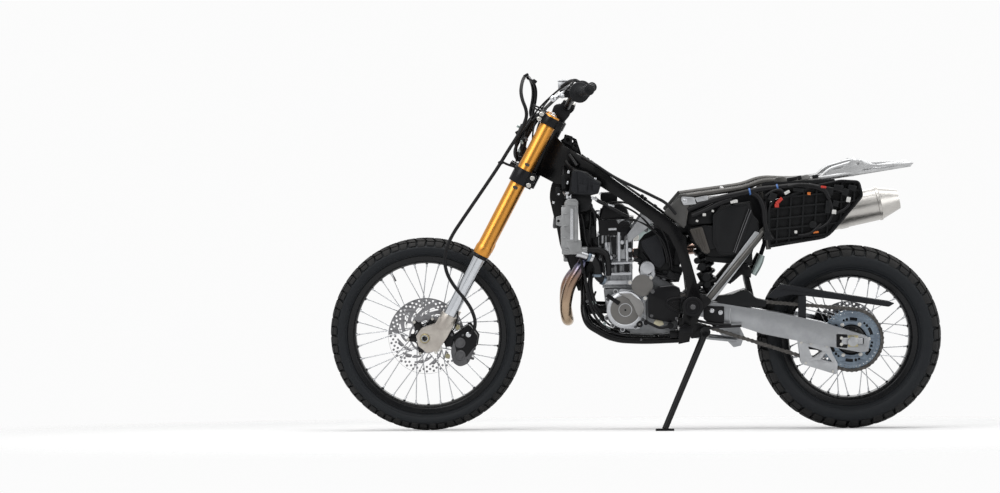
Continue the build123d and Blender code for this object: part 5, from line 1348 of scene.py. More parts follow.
def make_fork_cables():
    """Hose, cables and looms about the steering head, with their clips."""
    route = [(-258, 178, 1204), (-288, 168, 1182), (-324, 148, 1148), (-358, 122, 1116), (-377, 104, 1108),
        (-382, 97, 1130), (-377, 96, 1152), (-371, 94, 1182), (-370, 87, 1212), (-375, 66, 1239), (-384, 34, 1256),
        (-392, 0, 1262), (-399, -36, 1254), (-405, -70, 1232), (-407, -92, 1204), (-401, -102, 1176),
        (-389, -106, 1148), (-386, -107, 1122), (-398, -108, 1088), (-419, -110, 1052), (-451, -112, 1004),
        (-484, -114, 950), (-540, -116, 868), (-600, -117, 782), (-648, -118, 712), (-672, -119, 662),
        (-679, -120, 612), (-668, -122, 566), (-641, -124, 523), (-611, -124, 487), (-586, -124, 450),
        (-572, -120, 408), (-576, -108, 374), (-596, -104, 358)]
    build("brake_hose", hose_rubber, [(tube, route, 6.2, 14, 0.48, 5)], "steering",
        ("front_brake_hose",), 60, False)
    wire("bar_cable_loop", [[(-378, 88, 1104), (-367, 88, 1150), (-361, 86, 1182), (-360, 80, 1210),
        (-366, 60, 1233), (-376, 32, 1248), (-386, 2, 1253)]], 5.2, hose_rubber, "steering", 12)
    wire("bar_thin_lines", [[(-367, -30, 1159), (-350, -40, 1152), (-334, -54, 1147)],
        [(-369, -30, 1150), (-352, -40, 1143), (-336, -56, 1138)], [(-252, -262, 1206), (-212, -240, 1247),
        (-236, -180, 1243), (-290, -110, 1200), (-334, -70, 1160), (-372, -50, 1116), (-392, -46, 1060)]], 3.2,
        hose_rubber, "steering", 10)
    wire("clutch_cable_sleeve", [[(-200, -252, 1240), (-212, -240, 1247), (-236, -180, 1243), (-262, -144, 1224)]],
        6, moulded, "steering", 12)
    wire("throttle_cables", [[(-212, 250, 1214), (-240, 190, 1236), (-300, 90, 1196), (-350, 24, 1130),
        (-372, -14, 1060), (-366, -34, 1000)], [(-206, 244, 1204), (-232, 186, 1222), (-296, 84, 1182),
        (-344, 14, 1112), (-362, -22, 1040), (-352, -44, 982)]], 3, hose_rubber, "steering", 10)
    wire("headset_looms", [[(-404, -60, 1092), (-424, -66, 1046), (-428, -64, 1000), (-424, -50, 962)],
        [(-386, -50, 1076), (-408, -62, 1030), (-406, -64, 990), (-396, -50, 960), (-380, -30, 950)],
        [(-370, -44, 1098), (-396, -60, 1062), (-398, -66, 1020), (-412, -60, 984)],
        [(-352, -30, 1124), (-378, -34, 1112), (-396, -34, 1078), (-416, -30, 1040), (-434, -24, 1000),
        (-432, -18, 974), (-416, -12, 962)], [(-356, 34, 1126), (-380, 30, 1100), (-404, 24, 1060),
        (-430, 16, 1010), (-436, 6, 982), (-420, 0, 964)], [(-340, 52, 1120), (-366, 56, 1090), (-388, 54, 1050),
        (-412, 44, 1012), (-424, 30, 982), (-410, 16, 966)], [(-344, -62, 1128), (-372, -62, 1098),
        (-384, -58, 1060), (-404, -50, 1022), (-412, -40, 990), (-400, -24, 970)],
        [(-350, 10, 1128), (-374, 8, 1090), (-392, 4, 1046), (-400, 2, 1010), (-396, 0, 985)],
        [(-360, 70, 1100), (-390, 60, 1064), (-424, 30, 1030), (-434, 0, 1020), (-424, -34, 1034),
        (-396, -62, 1070), (-370, -72, 1108)]], 5.4, hose_rubber, "steering", 10)
    build("ignition_lock", bracket_zinc, [
        (rod, [(16, -18), (17.5, -16), (17.5, 12), (15, 15), (6, 15), (5, 13)], (-398, 0, 1066), STEER_UP, 30),
        (box, (-418, -66, 1084), (11, 8, 8), 0.5, 1.5),
        (box, (-405, -72, 1030), (7, 7, 15), -0.4, 1.5),
        (box, (-415, -60, 1000), (8, 8, 13), -0.3, 1.5)], "steering")
    build("lower_clamp_lugs", clamp_black,
        [*((box, fork_point(700, 46, side * 45), (13, 26, 30), axes(STEER_UP, STEER_AHEAD), 4) for side
        in (-1, 1))], "steering")
    build("hose_clips", moulded, [
        (box, (-361, -18, 1242), (16, 16, 12), 0.6, 2.5),
        (box, (-391, -22, 1263), (20, 15, 10), -0.5, 3),
        (box, (-420, -66, 1063), (16, 18, 14), -0.5, 2.5),
        (box, (-478, -112, 960), (18, 14, 15), -0.5, 2.5),
        (tube, [(-472, -112, 962), (-452, -108, 952), (-426, -104, 944), (-402, -104, 922)], 4.2, 10),
        (box, (-398, -56, 1000), (22, 18, 34), -0.4, 3),
        (box, (-414, -46, 968), (26, 20, 18), 0.4, 3)], "steering")
    build("headset_connectors", dark_steel, [
        (box, (-392, -62, 1040), (12, 12, 16), -0.4, 2),
        (box, (-370, -60, 1010), (12, 10, 20), 0.3, 2)], "steering")


def make_caliper():
    """Front caliper with its fins, pins, hose and sensor lead."""
    def at(dx, y, dz):
        return Vector((FRONT.x + dx, y, FRONT.z + dz))

    body = bmesh.new()
    slab(body, [(FRONT.x + x, FRONT.z + z) for x, z in ((96, -92), (88, -50), (98, -8), (122, 22), (150, 28),
        (168, 4), (172, -46), (150, -94), (120, -106))], -100, -66, 12, 4)
    for k in range(4):
        z = -24 - 17 * k
        box(body, at(166 - k * 3, -80, z), (26, 26, 8), 0.25, 2)
    for z in (-20, -64):
        rod(body, [(19, 0), (19, 4), (16.5, 6.5), (12, 6.5), (11, 5)], at(122, -99, z), LEFT, 32)
    put("caliper_body", body, dark_steel, "steering", smooth=32)
    build("caliper_pad_cover", satin_black,
        [(slab, [(FRONT.x + x, FRONT.z + z) for x, z in ((62, 2), (92, 30), (104, 12), (92, -32), (70, -34))],
        -104, -96, 6, 2)], "steering")
    bolts = [(at(114, -100, 36), LEFT, 1.5), (at(78, -104, -66), LEFT, 1.5)]
    hex_bolts("caliper_mount_bolts", bolts, yellow_zinc, "steering")
    cap_bolts("caliper_pins", [(at(94, -104, 10), LEFT, 1.3), (at(132, -100, 8), LEFT, 1.1),
        (at(150, -100, -84), LEFT, 1)], dark_steel, "steering")
    build("caliper_banjo", spoke_steel, [
        (rod, [(9, -8), (9, 6), (7.5, 7)], at(152, -102, 10), LEFT, 24),
        (rod, [(6.5, 6), (6.5, 12), (5.5, 13)], at(152, -102, 10), LEFT, 6)], "steering")
    wire("caliper_lead", [[at(-6, -118, 10), at(12, -124, 34), at(36, -122, 24), at(62, -114, 6), at(86, -108, 10),
        at(104, -104, 34), at(118, -112, 90), at(112, -116, 150)]], 2.6, hose_rubber, "steering", 8)


make_fork_details()
make_bar_details()
make_fork_cables()
make_caliper()

# ---- engine -----------------------------------------------------------------------------------------------------
GENERATOR, IDLER = Vector((-46.0, 0.0, 441.0)), Vector((14.0, 0.0, 526.0))


def make_left_covers():
    """Faces, rims and fastenings of the engine's left covers."""
    build("cover_faces", cover_face, [
        (rod, [(50.5, 115.5), (51.5, 116.6), (51.5, 117.2), (50.8, 117.6)], GENERATOR, LEFT, 72),
        (rod, [(37.2, 109), (38, 110), (38, 111.8), (37, 112.6)], IDLER, LEFT, 64)], smooth=30)
    build("cover_wedge", cover_mid,
        [(slab, [(-72, 500), (-26, 500), (16, 468), (22, 445), (8, 412), (-6, 426), (-18, 456), (-33, 480)], -121,
        -104, 6, 2.5)], smooth=30)
    build("cover_rims", engine_cover, [
        (hoop, [(51.8, 112), (51.8, 117.2), (53.6, 118.6), (60.4, 117.4), (65, 113.5), (66.2, 108), (66.2, 100),
             (51.8, 100)], GENERATOR, LEFT, 80),
        (hoop, [(21.6, 117.2), (21.6, 118.8), (23.6, 118.8), (23.6, 117.2)], GENERATOR, LEFT, 48),
        *((rod, [(8.8, 96), (8.8, 110), (7.6, 111.5)], (x, 0, z), LEFT, 24) for x, z in ((-29, 537), (45, 554),
             (24, 481))),
        (rod, [(28, 60), (28, 92), (25, 96), (14, 98)], (33, 0, 566), LEFT, 40)])
    cap_bolts("cover_bolts", [((-29, -111.5, 537), LEFT, 1.5), ((45, -111.5, 554), LEFT, 1.5),
        ((24, -111.5, 481), LEFT, 1.5)])
    build("cover_plugs", satin_black, [
        (slab, [(-115, 489), (-106, 498), (-62, 470), (-71, 458)], -121, -108, 1.5, 0.6),
        (rod, [(3.6, 117), (3.6, 118.4)], GENERATOR, LEFT, 16),
        (rod, [(11.5, 96), (11.5, 116), (9.6, 118), (7.4, 118), (7, 115)], (4, 0, 390), LEFT, 28),
        (rod, [(9, 97), (9, 98.8)], (38, 0, 572), LEFT, 24)])
    build("cover_plug_hex", cover_face, [(rod, [(4.2, 114), (4.2, 116.4)], (4, 0, 390), LEFT, 6)])
    around_cover = []
    for angle in (118, 150, 205, 232, 262, 300, 330):
        a = math.radians(angle)
        around_cover.append((around(GENERATOR, 72, a, -100), LEFT, 1))
    build("cover_ears", engine_cover, [*((rod, [(8, -26), (8, 0.4)], place, LEFT, 18) for place, _,
        _ in around_cover)])
    hex_bolts("cover_screws", around_cover, dark_steel)


def make_cylinder_details():
    """Ribs and pillars of the cylinder and head, the coil, the stay and the control box."""
    build("cylinder_ribs", head_alloy, [
        *((slab, rect(x - 5, 520, x + 5, 604), -63.5, -50, 4, 2) for x in (-112, -96, -44, -27)),
        *((box, (-70, 0, z), (100 + 2 * grow, 118 + 2 * grow, 7), 0, 2) for z, grow in ((608, 5), (517, 6),
             (583, 1))),
        (slab, rect(-86, 566, -54, 592), -62, -52, 3, 1.5),
        *((slab, rect(x - 3, 530, x + 3, 558), -61.5, -52, 2, 1) for x in (-80, -66, -52))])
    build("head_pillars", head_alloy, [
        *((tube, [(x, -67, low), (x + 1, -68, (low + high) / 2), (x + 2, -67, high)], r, 16) for x, low, high,
             r in ((-126, 620, 742, 7), (-104, 616, 700, 8.5), (-86, 616, 700, 6), (-34, 616, 690, 8))),
        (slab, [(-72, 616), (-44, 616), (-42, 668), (-70, 664)], -72, -60, 5, 2.5),
        (box, (-80, 0, 703), (128, 140, 7), 0, 2)], smooth=45)
    build("head_dark_parts", satin_black, [
        (rod, [(21, 50), (21, 70), (18.5, 73), (12, 73), (11, 71)], (-48, 0, 731), LEFT, 40),
        (rod, [(9, 60), (9, 78), (7, 80)], (-84, 0, 628), LEFT, 24),
        (slab, [(-92, 640), (-78, 640), (-76, 696), (-94, 696)], -76, -66, 4, 2),
        (slab, [(-138, 708), (-118, 706), (-96, 720), (-78, 712), (-20, 712), (-20, 722), (-138, 728)], -70, -60,
             3, 1.5),
        (box, (-76, 0, 760), (122, 126, 6), 0, 2),
        (slab, [(-136, 664), (-118, 664), (-116, 700), (-138, 700)], -74, -62, 4, 2)],
        smooth=40)
    hex_bolts("head_bolts", [((-124, -64, 750), LEFT, 1.2), ((-24, -62, 748), LEFT, 1.2),
        ((-84, -80, 628), LEFT, 0.9), ((-34, -76, 700), LEFT, 0.9), ((-104, -76, 700), LEFT, 0.8)], dark_steel)
    build("coil_ears", spoke_steel, [*((slab, rect(x - 9, 768, x + 9, 788), -44, -40, 5, 0.8, [(x, 778, 3)]) for x
        in (-141, -60))])
    build("coil_block", dark_moulded, [
        (slab, rect(-133, 772, -67, 794), -46, -20, 4, 2),
        (slab, rect(-133, 748, -67, 770), -44, -20, 4, 2)])
    build("head_stay", bracket_zinc,
        [(slab, [(-13, 703), (-14, 686), (4, 682), (22, 704), (56, 722), (50, 740), (36, 733), (24, 760),
        (2, 738)], -82, -76, 4, 0.9)], smooth=30)
    hex_bolts("head_stay_bolt", [((-8, -83, 694), LEFT, 2)], bolt_zinc)
    hex_bolts("head_stay_small_bolts", [((20, -83, 745), LEFT, 1.3), ((46, -83, 728), LEFT, 1.3)], dark_steel)
    outline = [(10, 680), (61, 700), (80, 680), (96, 608), (79, 585), (57, 592), (15, 660)]
    build("control_box_lid", dark_moulded, [
        (slab, outline, -91, -86, 7, 2),
        (slab, [(18, 676), (58, 692), (72, 676), (88, 612), (77, 597), (62, 603), (24, 660)], -93, -88, 6, 1)])


def make_engine_hoses():
    """Coolant hose, looms and connectors about the engine."""
    wire("coolant_hoses", [[(-178, -100, 630), (-162, -98, 624), (-148, -92, 606), (-142, -88, 580),
        (-142, -84, 556), (-120, -74, 540)]], 15, hose_rubber, "chassis", 20)
    build("radiator_spout", spoke_steel, [
        (tube, [(-216, -104, 640), (-200, -102, 637), (-176, -100, 629)], 12.5, 24),
        (rod, [(16.5, 0), (16.5, 9)], (-166, -98, 626), (1, 0.1, -0.45), 28)])
    wire("engine_looms", [[(-150, -46, 700), (-146, -58, 664), (-136, -66, 640), (-120, -68, 628)],
        [(-170, -40, 760), (-160, -50, 724), (-158, -60, 690), (-146, -70, 668)],
        [(-60, -76, 806), (-20, -86, 790), (20, -94, 760), (52, -98, 720), (86, -98, 690), (104, -92, 640),
        (112, -80, 588)], [(-110, -58, 812), (-60, -70, 820), (-10, -84, 806), (40, -96, 768), (74, -102, 726)],
        [(96, -88, 700), (108, -94, 660), (116, -92, 620), (120, -84, 580)], [(-8, -60, 620), (10, -70, 596),
        (4, -78, 570), (18, -84, 560)], [(60, -80, 560), (84, -92, 556), (110, -96, 548), (132, -98, 546)],
        [(-160, -60, 470), (-144, -74, 440), (-128, -80, 410), (-104, -82, 384), (-70, -80, 366), (-30, -78, 356)],
        [(-150, -50, 500), (-160, -64, 474), (-150, -74, 446), (-126, -80, 418)]], 3.6)
    build("engine_connectors", moulded,
        [*((box, place, size, turn, 3) for place, size, turn in (((-142, -70, 628), (14, 12, 18), 0.3),
        ((-150, -66, 654), (12, 12, 16), -0.2), ((-8, -64, 640), (18, 16, 26), 0), ((-2, -68, 612), (26, 18, 14),
        0.2), ((118, -88, 560), (30, 24, 22), 0.5), ((136, -84, 552), (22, 28, 28), 0.3),
        ((96, -70, 552), (40, 30, 16), 0), ((-140, -74, 434), (22, 14, 14), 0.9), ((-124, -76, 410), (22, 14, 12),
        0.9)))])
    build("engine_pale_clips", bracket_zinc,
        [*((box, place, size, turn, 2) for place, size, turn in (((-158, -76, 462), (16, 10, 16), 0.9),
        ((-146, -78, 426), (20, 10, 9), 0.9), ((-134, -80, 404), (8, 10, 18), 0.6),
        ((-120, -82, 388), (10, 10, 14), 0.6), ((-108, -80, 372), (18, 10, 8), 0.6),
        ((-128, -72, 650), (10, 10, 12), 0)))])
    build("cream_seal", cream_plastic, [(slab, [(52, 392), (62, 408), (84, 402), (90, 388), (72, 382)], -112, -104,
        4, 1.5)])


def make_chain_covers():
    """Sprocket cover, chain guard and chain guide."""
    build("sprocket_cover", satin_black, [
        (slab, [(34, 500), (70, 524), (126, 528), (147, 516), (147, 436), (136, 402), (110, 396), (34, 412)], -122,
             -110, 9, 3),
        (tube, [(148, -123, 430), (118, -123, 444), (102, -123, 456), (100, -123, 470), (112, -123, 480),
             (146, -123, 484)], 4.6, 12),
        (tube, [(146, -123, 446), (124, -123, 456), (116, -123, 464), (124, -123, 470), (146, -123, 472)], 2.6,
             10)])
    # Painted highlight: a lighter metal line along the black cover's top edge.
    build("sprocket_cover_edge", dark_steel,
        [(tube, [(76, -121, 522), (100, -122, 525), (126, -122, 527), (144, -121, 517)], 1.7, 8)])
    hex_bolts("sprocket_cover_bolts", [((50, -122, 506), LEFT, 1.2), ((134, -122, 410), LEFT, 1),
        ((46, -122, 420), LEFT, 1)], dark_steel)
    build("chain_guard", dark_moulded, [
        (slab, [(448, 482), (499, 529), (616, 508), (884, 464), (900, 459), (880, 446), (705, 472), (540, 492),
             (480, 478)], -110, -102, 5, 1.6),
        (tube, [(500, -110.4, 514), (616, -110.4, 497), (760, -110.4, 472), (880, -110.4, 453)], 1.8, 8),
        (slab, [(499, 529), (616, 508), (884, 464), (884, 460), (616, 503), (499, 524)], -106, -74, 1.5, 0.8),
        (box, (575, -108, 446), (28, 9, 80), 0, 3)], replaces=("chain_guards",), smooth=30)
    guide = bmesh.new()
    outline = [(560, 334), (670, 318), (681, 282), (701, 246), (697, 207), (571, 246)]
    windows = [[(596, 308), (648, 292), (612, 266)], [(659, 284), (681, 252), (640, 262)]]
    for y in (-105.5, -70.5):
        holes = [shape_outline(w, 5) for w in windows]
        plate(guide, [shape_outline(outline, 8)] + holes, 4, lateral(y), 0.7)
    put("chain_guide_plates", guide, satin_alloy, smooth=30)
    build("chain_guide_block", moulded, [
        (slab, [(566, 322), (630, 311), (634, 293), (566, 300)], -103, -73, 4, 1.5),
        *((tube, [(x, -104, z), (x, -72, z)], 5, 12) for x, z in ((588, 249), (684, 219), (640, 234))),
        (slab, [(580, 256), (690, 222), (690, 212), (576, 248)], -103, -73, 3, 1)])
    cap_bolts("chain_guide_bolts", [((572, -107.5, 322), LEFT, 1.2), ((606, -107.5, 318), LEFT, 1.1),
        ((662, -107.5, 308), LEFT, 1.1), ((588, -107.5, 249), LEFT, 1.1), ((684, -107.5, 219), LEFT, 1.1)])


def make_axle_end():
    """Adjuster plates and nuts at the rear axle, with black plates painted as the shade in the swingarm's windows and
    axle bores.
    """
    plates_zinc = bmesh.new()
    for side in (1, -1):
        y = -128.5 * side
        slab(plates_zinc, rect(734, REAR.z - 20, 770, REAR.z + 20), y, y - 4 * side, 2, 0.8)
    put("axle_plates", plates_zinc, yellow_zinc, smooth=30)
    build("adjuster_nuts", bolt_zinc,
        [*((rod, [(6.6, 0), (6.6, 5), (5.4, 6.5)], (711, -128.6 * side, REAR.z + z), LEFT * side, 6) for side
        in (1, -1) for z in (-11, 11))])
    # Painted shade: black plates on the swingarm's sides stand for the dark inside of its windows, and black discs
    # for the hollow axle.
    build("swingarm_windows", satin_black, [
        (slab, [(694, REAR.z - 22), (732, REAR.z - 25), (732, REAR.z + 23), (694, REAR.z + 25)], -129.4, -126, 3,
             0.6),
        (slab, [(694, REAR.z - 22), (732, REAR.z - 25), (732, REAR.z + 23), (694, REAR.z + 25)], 126, 129.4, 3,
             0.6)], smooth=30)
    build("axle_bores", satin_black, [*((rod, [(8, 132), (8, 133.6)], REAR, LEFT * side, 24) for side in (1, -1))])


make_left_covers()
make_cylinder_details()
make_engine_hoses()
make_chain_covers()
make_axle_end()

# ---- frame, radiators and tail -----------------------------------------------------------------------------------
def make_frame_details():
    """Gusset, welds, tabs, pivot caps and bolts on the frame."""
    build("down_tube_gusset", frame_paint,
        [(slab, [(-302, 886), (-310, 852), (-311, 827), (-300, 777), (-288, 731), (-276, 664), (-256, 612),
        (-236, 640), (-230, 760), (-222, 860), (-232, 905), (-266, 914)], -34, 34, 10, 2)], smooth=30)
    wire("frame_welds", [[(-187, -70, 973), (-172, -74, 962), (-153, -76, 954)],
        [(-236, -64, 972), (-240, -64, 930), (-236, -62, 900)], [(-177, -82, 951), (-119, -82, 908),
        (-57, -82, 867), (6, -82, 831), (61, -82, 796)], [(-196, -64, 985), (-150, -72, 948), (-96, -80, 902)]],
        2.6, frame_paint)
    build("frame_tabs", satin_black, [
        (slab, [(-256, 1056), (-228, 1048), (-232, 1014), (-262, 1030)], -44, -30, 3, 1.2, [(-245, 1036, 7)]),
        (slab, [(-232, 1010), (-226, 1024), (-212, 1024), (-206, 1012), (-214, 994), (-226, 996)], -40, -35, 5, 1,
             [(-219, 1014, 5.5)]),
        *((box, (x, -66, z), (12, 16, 14), 0.6, 2) for x, z in ((-176, 967), (-163, 958), (15, 837), (25, 828),
             (60, 802)))])
    build("spar_gussets", gusset_paint, [
        (slab, [(88, 782), (112, 806), (146, 836), (170, 812), (163, 724), (128, 752)], -113, -107, 10, 2),
        (slab, [(88, 782), (112, 806), (146, 836), (170, 812), (163, 724), (128, 752)], 107, 113, 10, 2)],
        smooth=30)
    build("seat_bracket", satin_alloy, [
        (slab, [(150, 828), (154, 838), (196, 836), (204, 812), (160, 808)], -120, -112, 4, 1.5),
        (slab, [(200, 834), (242, 842), (246, 826), (206, 818)], -116, -110, 3, 1.2)])
    hex_bolts("seat_bracket_bolt", [((164, -120.5, 824), LEFT, 1.3)], spoke_steel)
    build("pivot_caps", satin_black,
        [*((rod, [(33, 150), (35, 152), (35, 156.4), (33, 158), (25, 158.4), (23, 156.6), (17, 156.6),
        (15, 159.5)], (190, 0, 455), LEFT * side, 48) for side in (1, -1))])
    hex_bolts("pivot_nuts", [((190, -160, 455), LEFT, 1.5), ((190, 160, 455), -LEFT, 1.5)], dark_steel)
    hex_bolts("cradle_bolts", [((-180, -96, 470), LEFT, 0.9), ((9, -92, 332), LEFT, 1), ((90, -92, 335), LEFT, 1),
        ((150, -112, 340), LEFT, 1.2), ((166, -112, 362), LEFT, 1)], dark_steel)
    hex_bolts("swingarm_front_bolts", [((258, -118, 437), LEFT, 1.3), ((288, -118, 430), LEFT, 1.3),
        ((234, -118, 359), LEFT, 1.4), ((241, -120, 474), LEFT, 1.4)], spoke_steel)
    build("swingarm_front_plate", satin_black,
        [(slab, [(228, 453), (301, 452), (301, 391), (263, 380), (228, 408)], -117, -110, 5, 1.5)], smooth=30)
    wire("swingarm_weld", [[(322, -128, 447), (318, -130, 422), (322, -128, 394)]], 2, satin_alloy)
    wire("cradle_looms", [[(-182, -86, 497), (-170, -88, 452), (-144, -88, 398), (-95, -88, 357), (-41, -88, 347)],
        [(191, -120, 391), (227, -124, 375), (281, -126, 380), (361, -128, 384)],
        [(183, -118, 409), (227, -124, 398), (272, -126, 389), (325, -128, 388)]], 4.6, hose_rubber)
    build("peg_bracket_blocks", satin_black, [*((box, (x, -112, z), (wide, 12, high), 0, 5) for x, z, wide,
        high in ((167, 395, 52, 34), (127, 354, 36, 26)))])


def make_spring():
    """Shock coil between its seats."""
    top, low = Vector((224, 22, 700)), Vector((266, 22, 398))
    along = (low - top).normalized()
    side, other = LEFT.copy(), along.cross(LEFT).normalized()
    steps, turns = 132, 7.5
    points = []
    for k in range(steps + 1):
        t = k / steps
        angle = 2 * math.pi * turns * t
        reach = 66 + 196 * t
        points.append(top + along * reach + (side * math.cos(angle) + other * math.sin(angle)) * 27.5)
    build("spring_coil", spring_paint, [(tube, points, 6.2, 10, 0.3, 1)],
        replaces=("shock_spring",), smooth=60, recalc=False)
    build("spring_seats", satin_black, [
        *((hoop, [(12, reach), (34, reach), (35, reach + 2), (35, reach + 7), (33, reach + 9), (12, reach + 9)],
             top, along, 40) for reach in (54, 262)),
        (rod, [(17, 60), (17, 200), (12, 206), (12, 268)], top, along, 32)], smooth=40)


def make_regulator():
    """Relay box beside the steering head, with its looms."""
    build("relay_box_panels", dark_moulded, [
        (slab, [(-220, 935), (-194, 930), (-159, 905), (-130, 889), (-132, 869), (-148, 849), (-226, 852),
             (-233, 869)], -158, -150, 6, 2.5),
        (slab, [(-229, 930), (-212, 933), (-210, 853), (-232, 861)], -162, -150, 5, 2),
        (slab, [(-205, 886), (-177, 883), (-178, 858), (-205, 860)], -163, -150, 3, 1.5),
        (slab, [(-157, 886), (-134, 882), (-137, 863), (-157, 862)], -163, -150, 3, 1.5),
        *((slab, [(low, 868), (high, 868), (high, 905), (low, 907)], -160, -150, 1.5, 0.8) for low,
             high in ((-193, -191), (-175, -173), (-164, -161)))])
    build("relay_box_back", moulded, [
        (slab, [(-267, 918), (-254, 920), (-253, 871), (-265, 867)], -148, -120, 5, 2),
        (slab, [(-288, 874), (-272, 876), (-267, 847), (-283, 843)], -140, -110, 5, 2),
        (slab, [(-257, 847), (-168, 849), (-159, 829), (-168, 793), (-204, 785), (-204, 825), (-257, 831)], -120,
             -70, 8, 3)])
    build("loom_pale_bits", spoke_steel, [*((box, (x, -146, z), (wide, 10, high), 0.3, 2) for x, z, wide,
        high in ((-241, 928, 9, 11), (-245, 891, 6, 12), (-152, 835, 21, 10), (-148, 904, 9, 7), (-132, 852, 7, 8),
        (-294, 822, 8, 9), (-276, 851, 7, 7), (-99, 812, 10, 6), (-88, 809, 12, 6)))])
    wire("head_looms", [[(-252, -68, 962), (-240, -80, 944), (-221, -110, 930)],
        [(-262, -64, 940), (-262, -90, 922), (-262, -116, 903)], [(-240, -66, 985), (-228, -74, 968),
        (-213, -86, 946)], [(-240, -120, 850), (-244, -112, 836), (-240, -104, 827)],
        [(-151, -110, 835), (-137, -104, 822), (-115, -96, 812), (-80, -88, 789), (-35, -84, 766)],
        [(-195, -100, 831), (-169, -96, 808), (-151, -90, 780), (-151, -84, 753)]], 6.5, hose_rubber)


def make_radiator_details():
    """Tanks, fins, caps, hose clamps and horn."""
    build("radiator_side_tank", radiator_alloy, [
        (slab, [(-252, 830), (-241, 835), (-217, 835), (-208, 826), (-209, 692), (-198, 689), (-196, 642),
             (-237, 643), (-243, 662), (-269, 666), (-270, 736), (-253, 741)], -160, -150, 3, 1.6),
        (slab, [(-248, 826), (-211, 826), (-211, 812), (-249, 812)], -164.5, -158, 3, 1.5),
        (slab, [(-250, 684), (-202, 683), (-202, 650), (-239, 650), (-243, 668), (-250, 669)], -164.5, -158, 3,
             1.5),
        (slab, [(-220, 808), (-211, 808), (-212, 687), (-221, 687)], -163, -158, 3, 1.2),
        (slab, [(-286, 772), (-266, 778), (-266, 738), (-286, 744)], -158, -152, 4, 1.2, [(-277, 758, 5)]),
        *((box, (-252, -161, z), (16, 6, 5), 0, 1.2) for z in (660, 700, 742, 784))], smooth=30)
    build("radiator_channel", spoke_steel, [(slab, [(-235, 801), (-226, 801), (-226, 694), (-237, 693)], -164,
        -158, 2.5, 1)])
    build("hose_clamps", blue_zinc, [*((hoop, [(r - 2, -5), (r, -4.4), (r, 4.4), (r - 2, 5)], place, way, 32)
        for place, way, r in (((-172, -99, 627), (1, 0.1, -0.3), 17.5), ((-143, -86, 562), (0, 0.1, -1), 17.5),
        ((-124, -76, 542), (1, 0.5, -0.5), 17)))], smooth=40)
    build("radiator_caps", spoke_steel,
        [*((rod, [(15, 0), (15, 14), (19, 15), (21, 18), (21, 23), (17, 25)], (-242, -side * 108, 834), UP,
        28) for side in (-1, 1))])
    fins, dark, ends = bmesh.new(), bmesh.new(), bmesh.new()
    for side, low, high in ((-1, 660, 803), (1, 616, 803)):
        middle, tall = (low + high) / 2, high - low
        box(dark, (-262.4, side * 110, middle), (1.6, 92, tall), 0, 0.3)
        for k in range(24):
            box(fins, (-264.2, side * (67.2 + k * 3.72), middle), (3, 1.5, tall), 0, 0.3)
        for k in range(int(tall // 9)):
            box(fins, (-263.4, side * 110, low + 6 + k * 9), (1.6, 92, 1.1), 0, 0.3)
        for y in (62.5, 157):
            box(ends, (-242, side * y, middle), (50, 5, tall + 6), 0, 1.6)
    for z in (676, 780):
        box(ends, (-246, 163, z), (22, 9, 16), 0, 2.5)
    put("radiator_fins", fins, radiator_alloy, smooth=30)
    put("radiator_cores", dark, dark_steel)
    put("radiator_end_plates", ends, radiator_alloy)
    build("horn", dark_steel, [(rod, [(20, -12), (27, -4), (29, 4), (28, 9), (22, 11), (20, 8)], (-290, 44, 745),
        (-1, 0, 0.1), 36)])


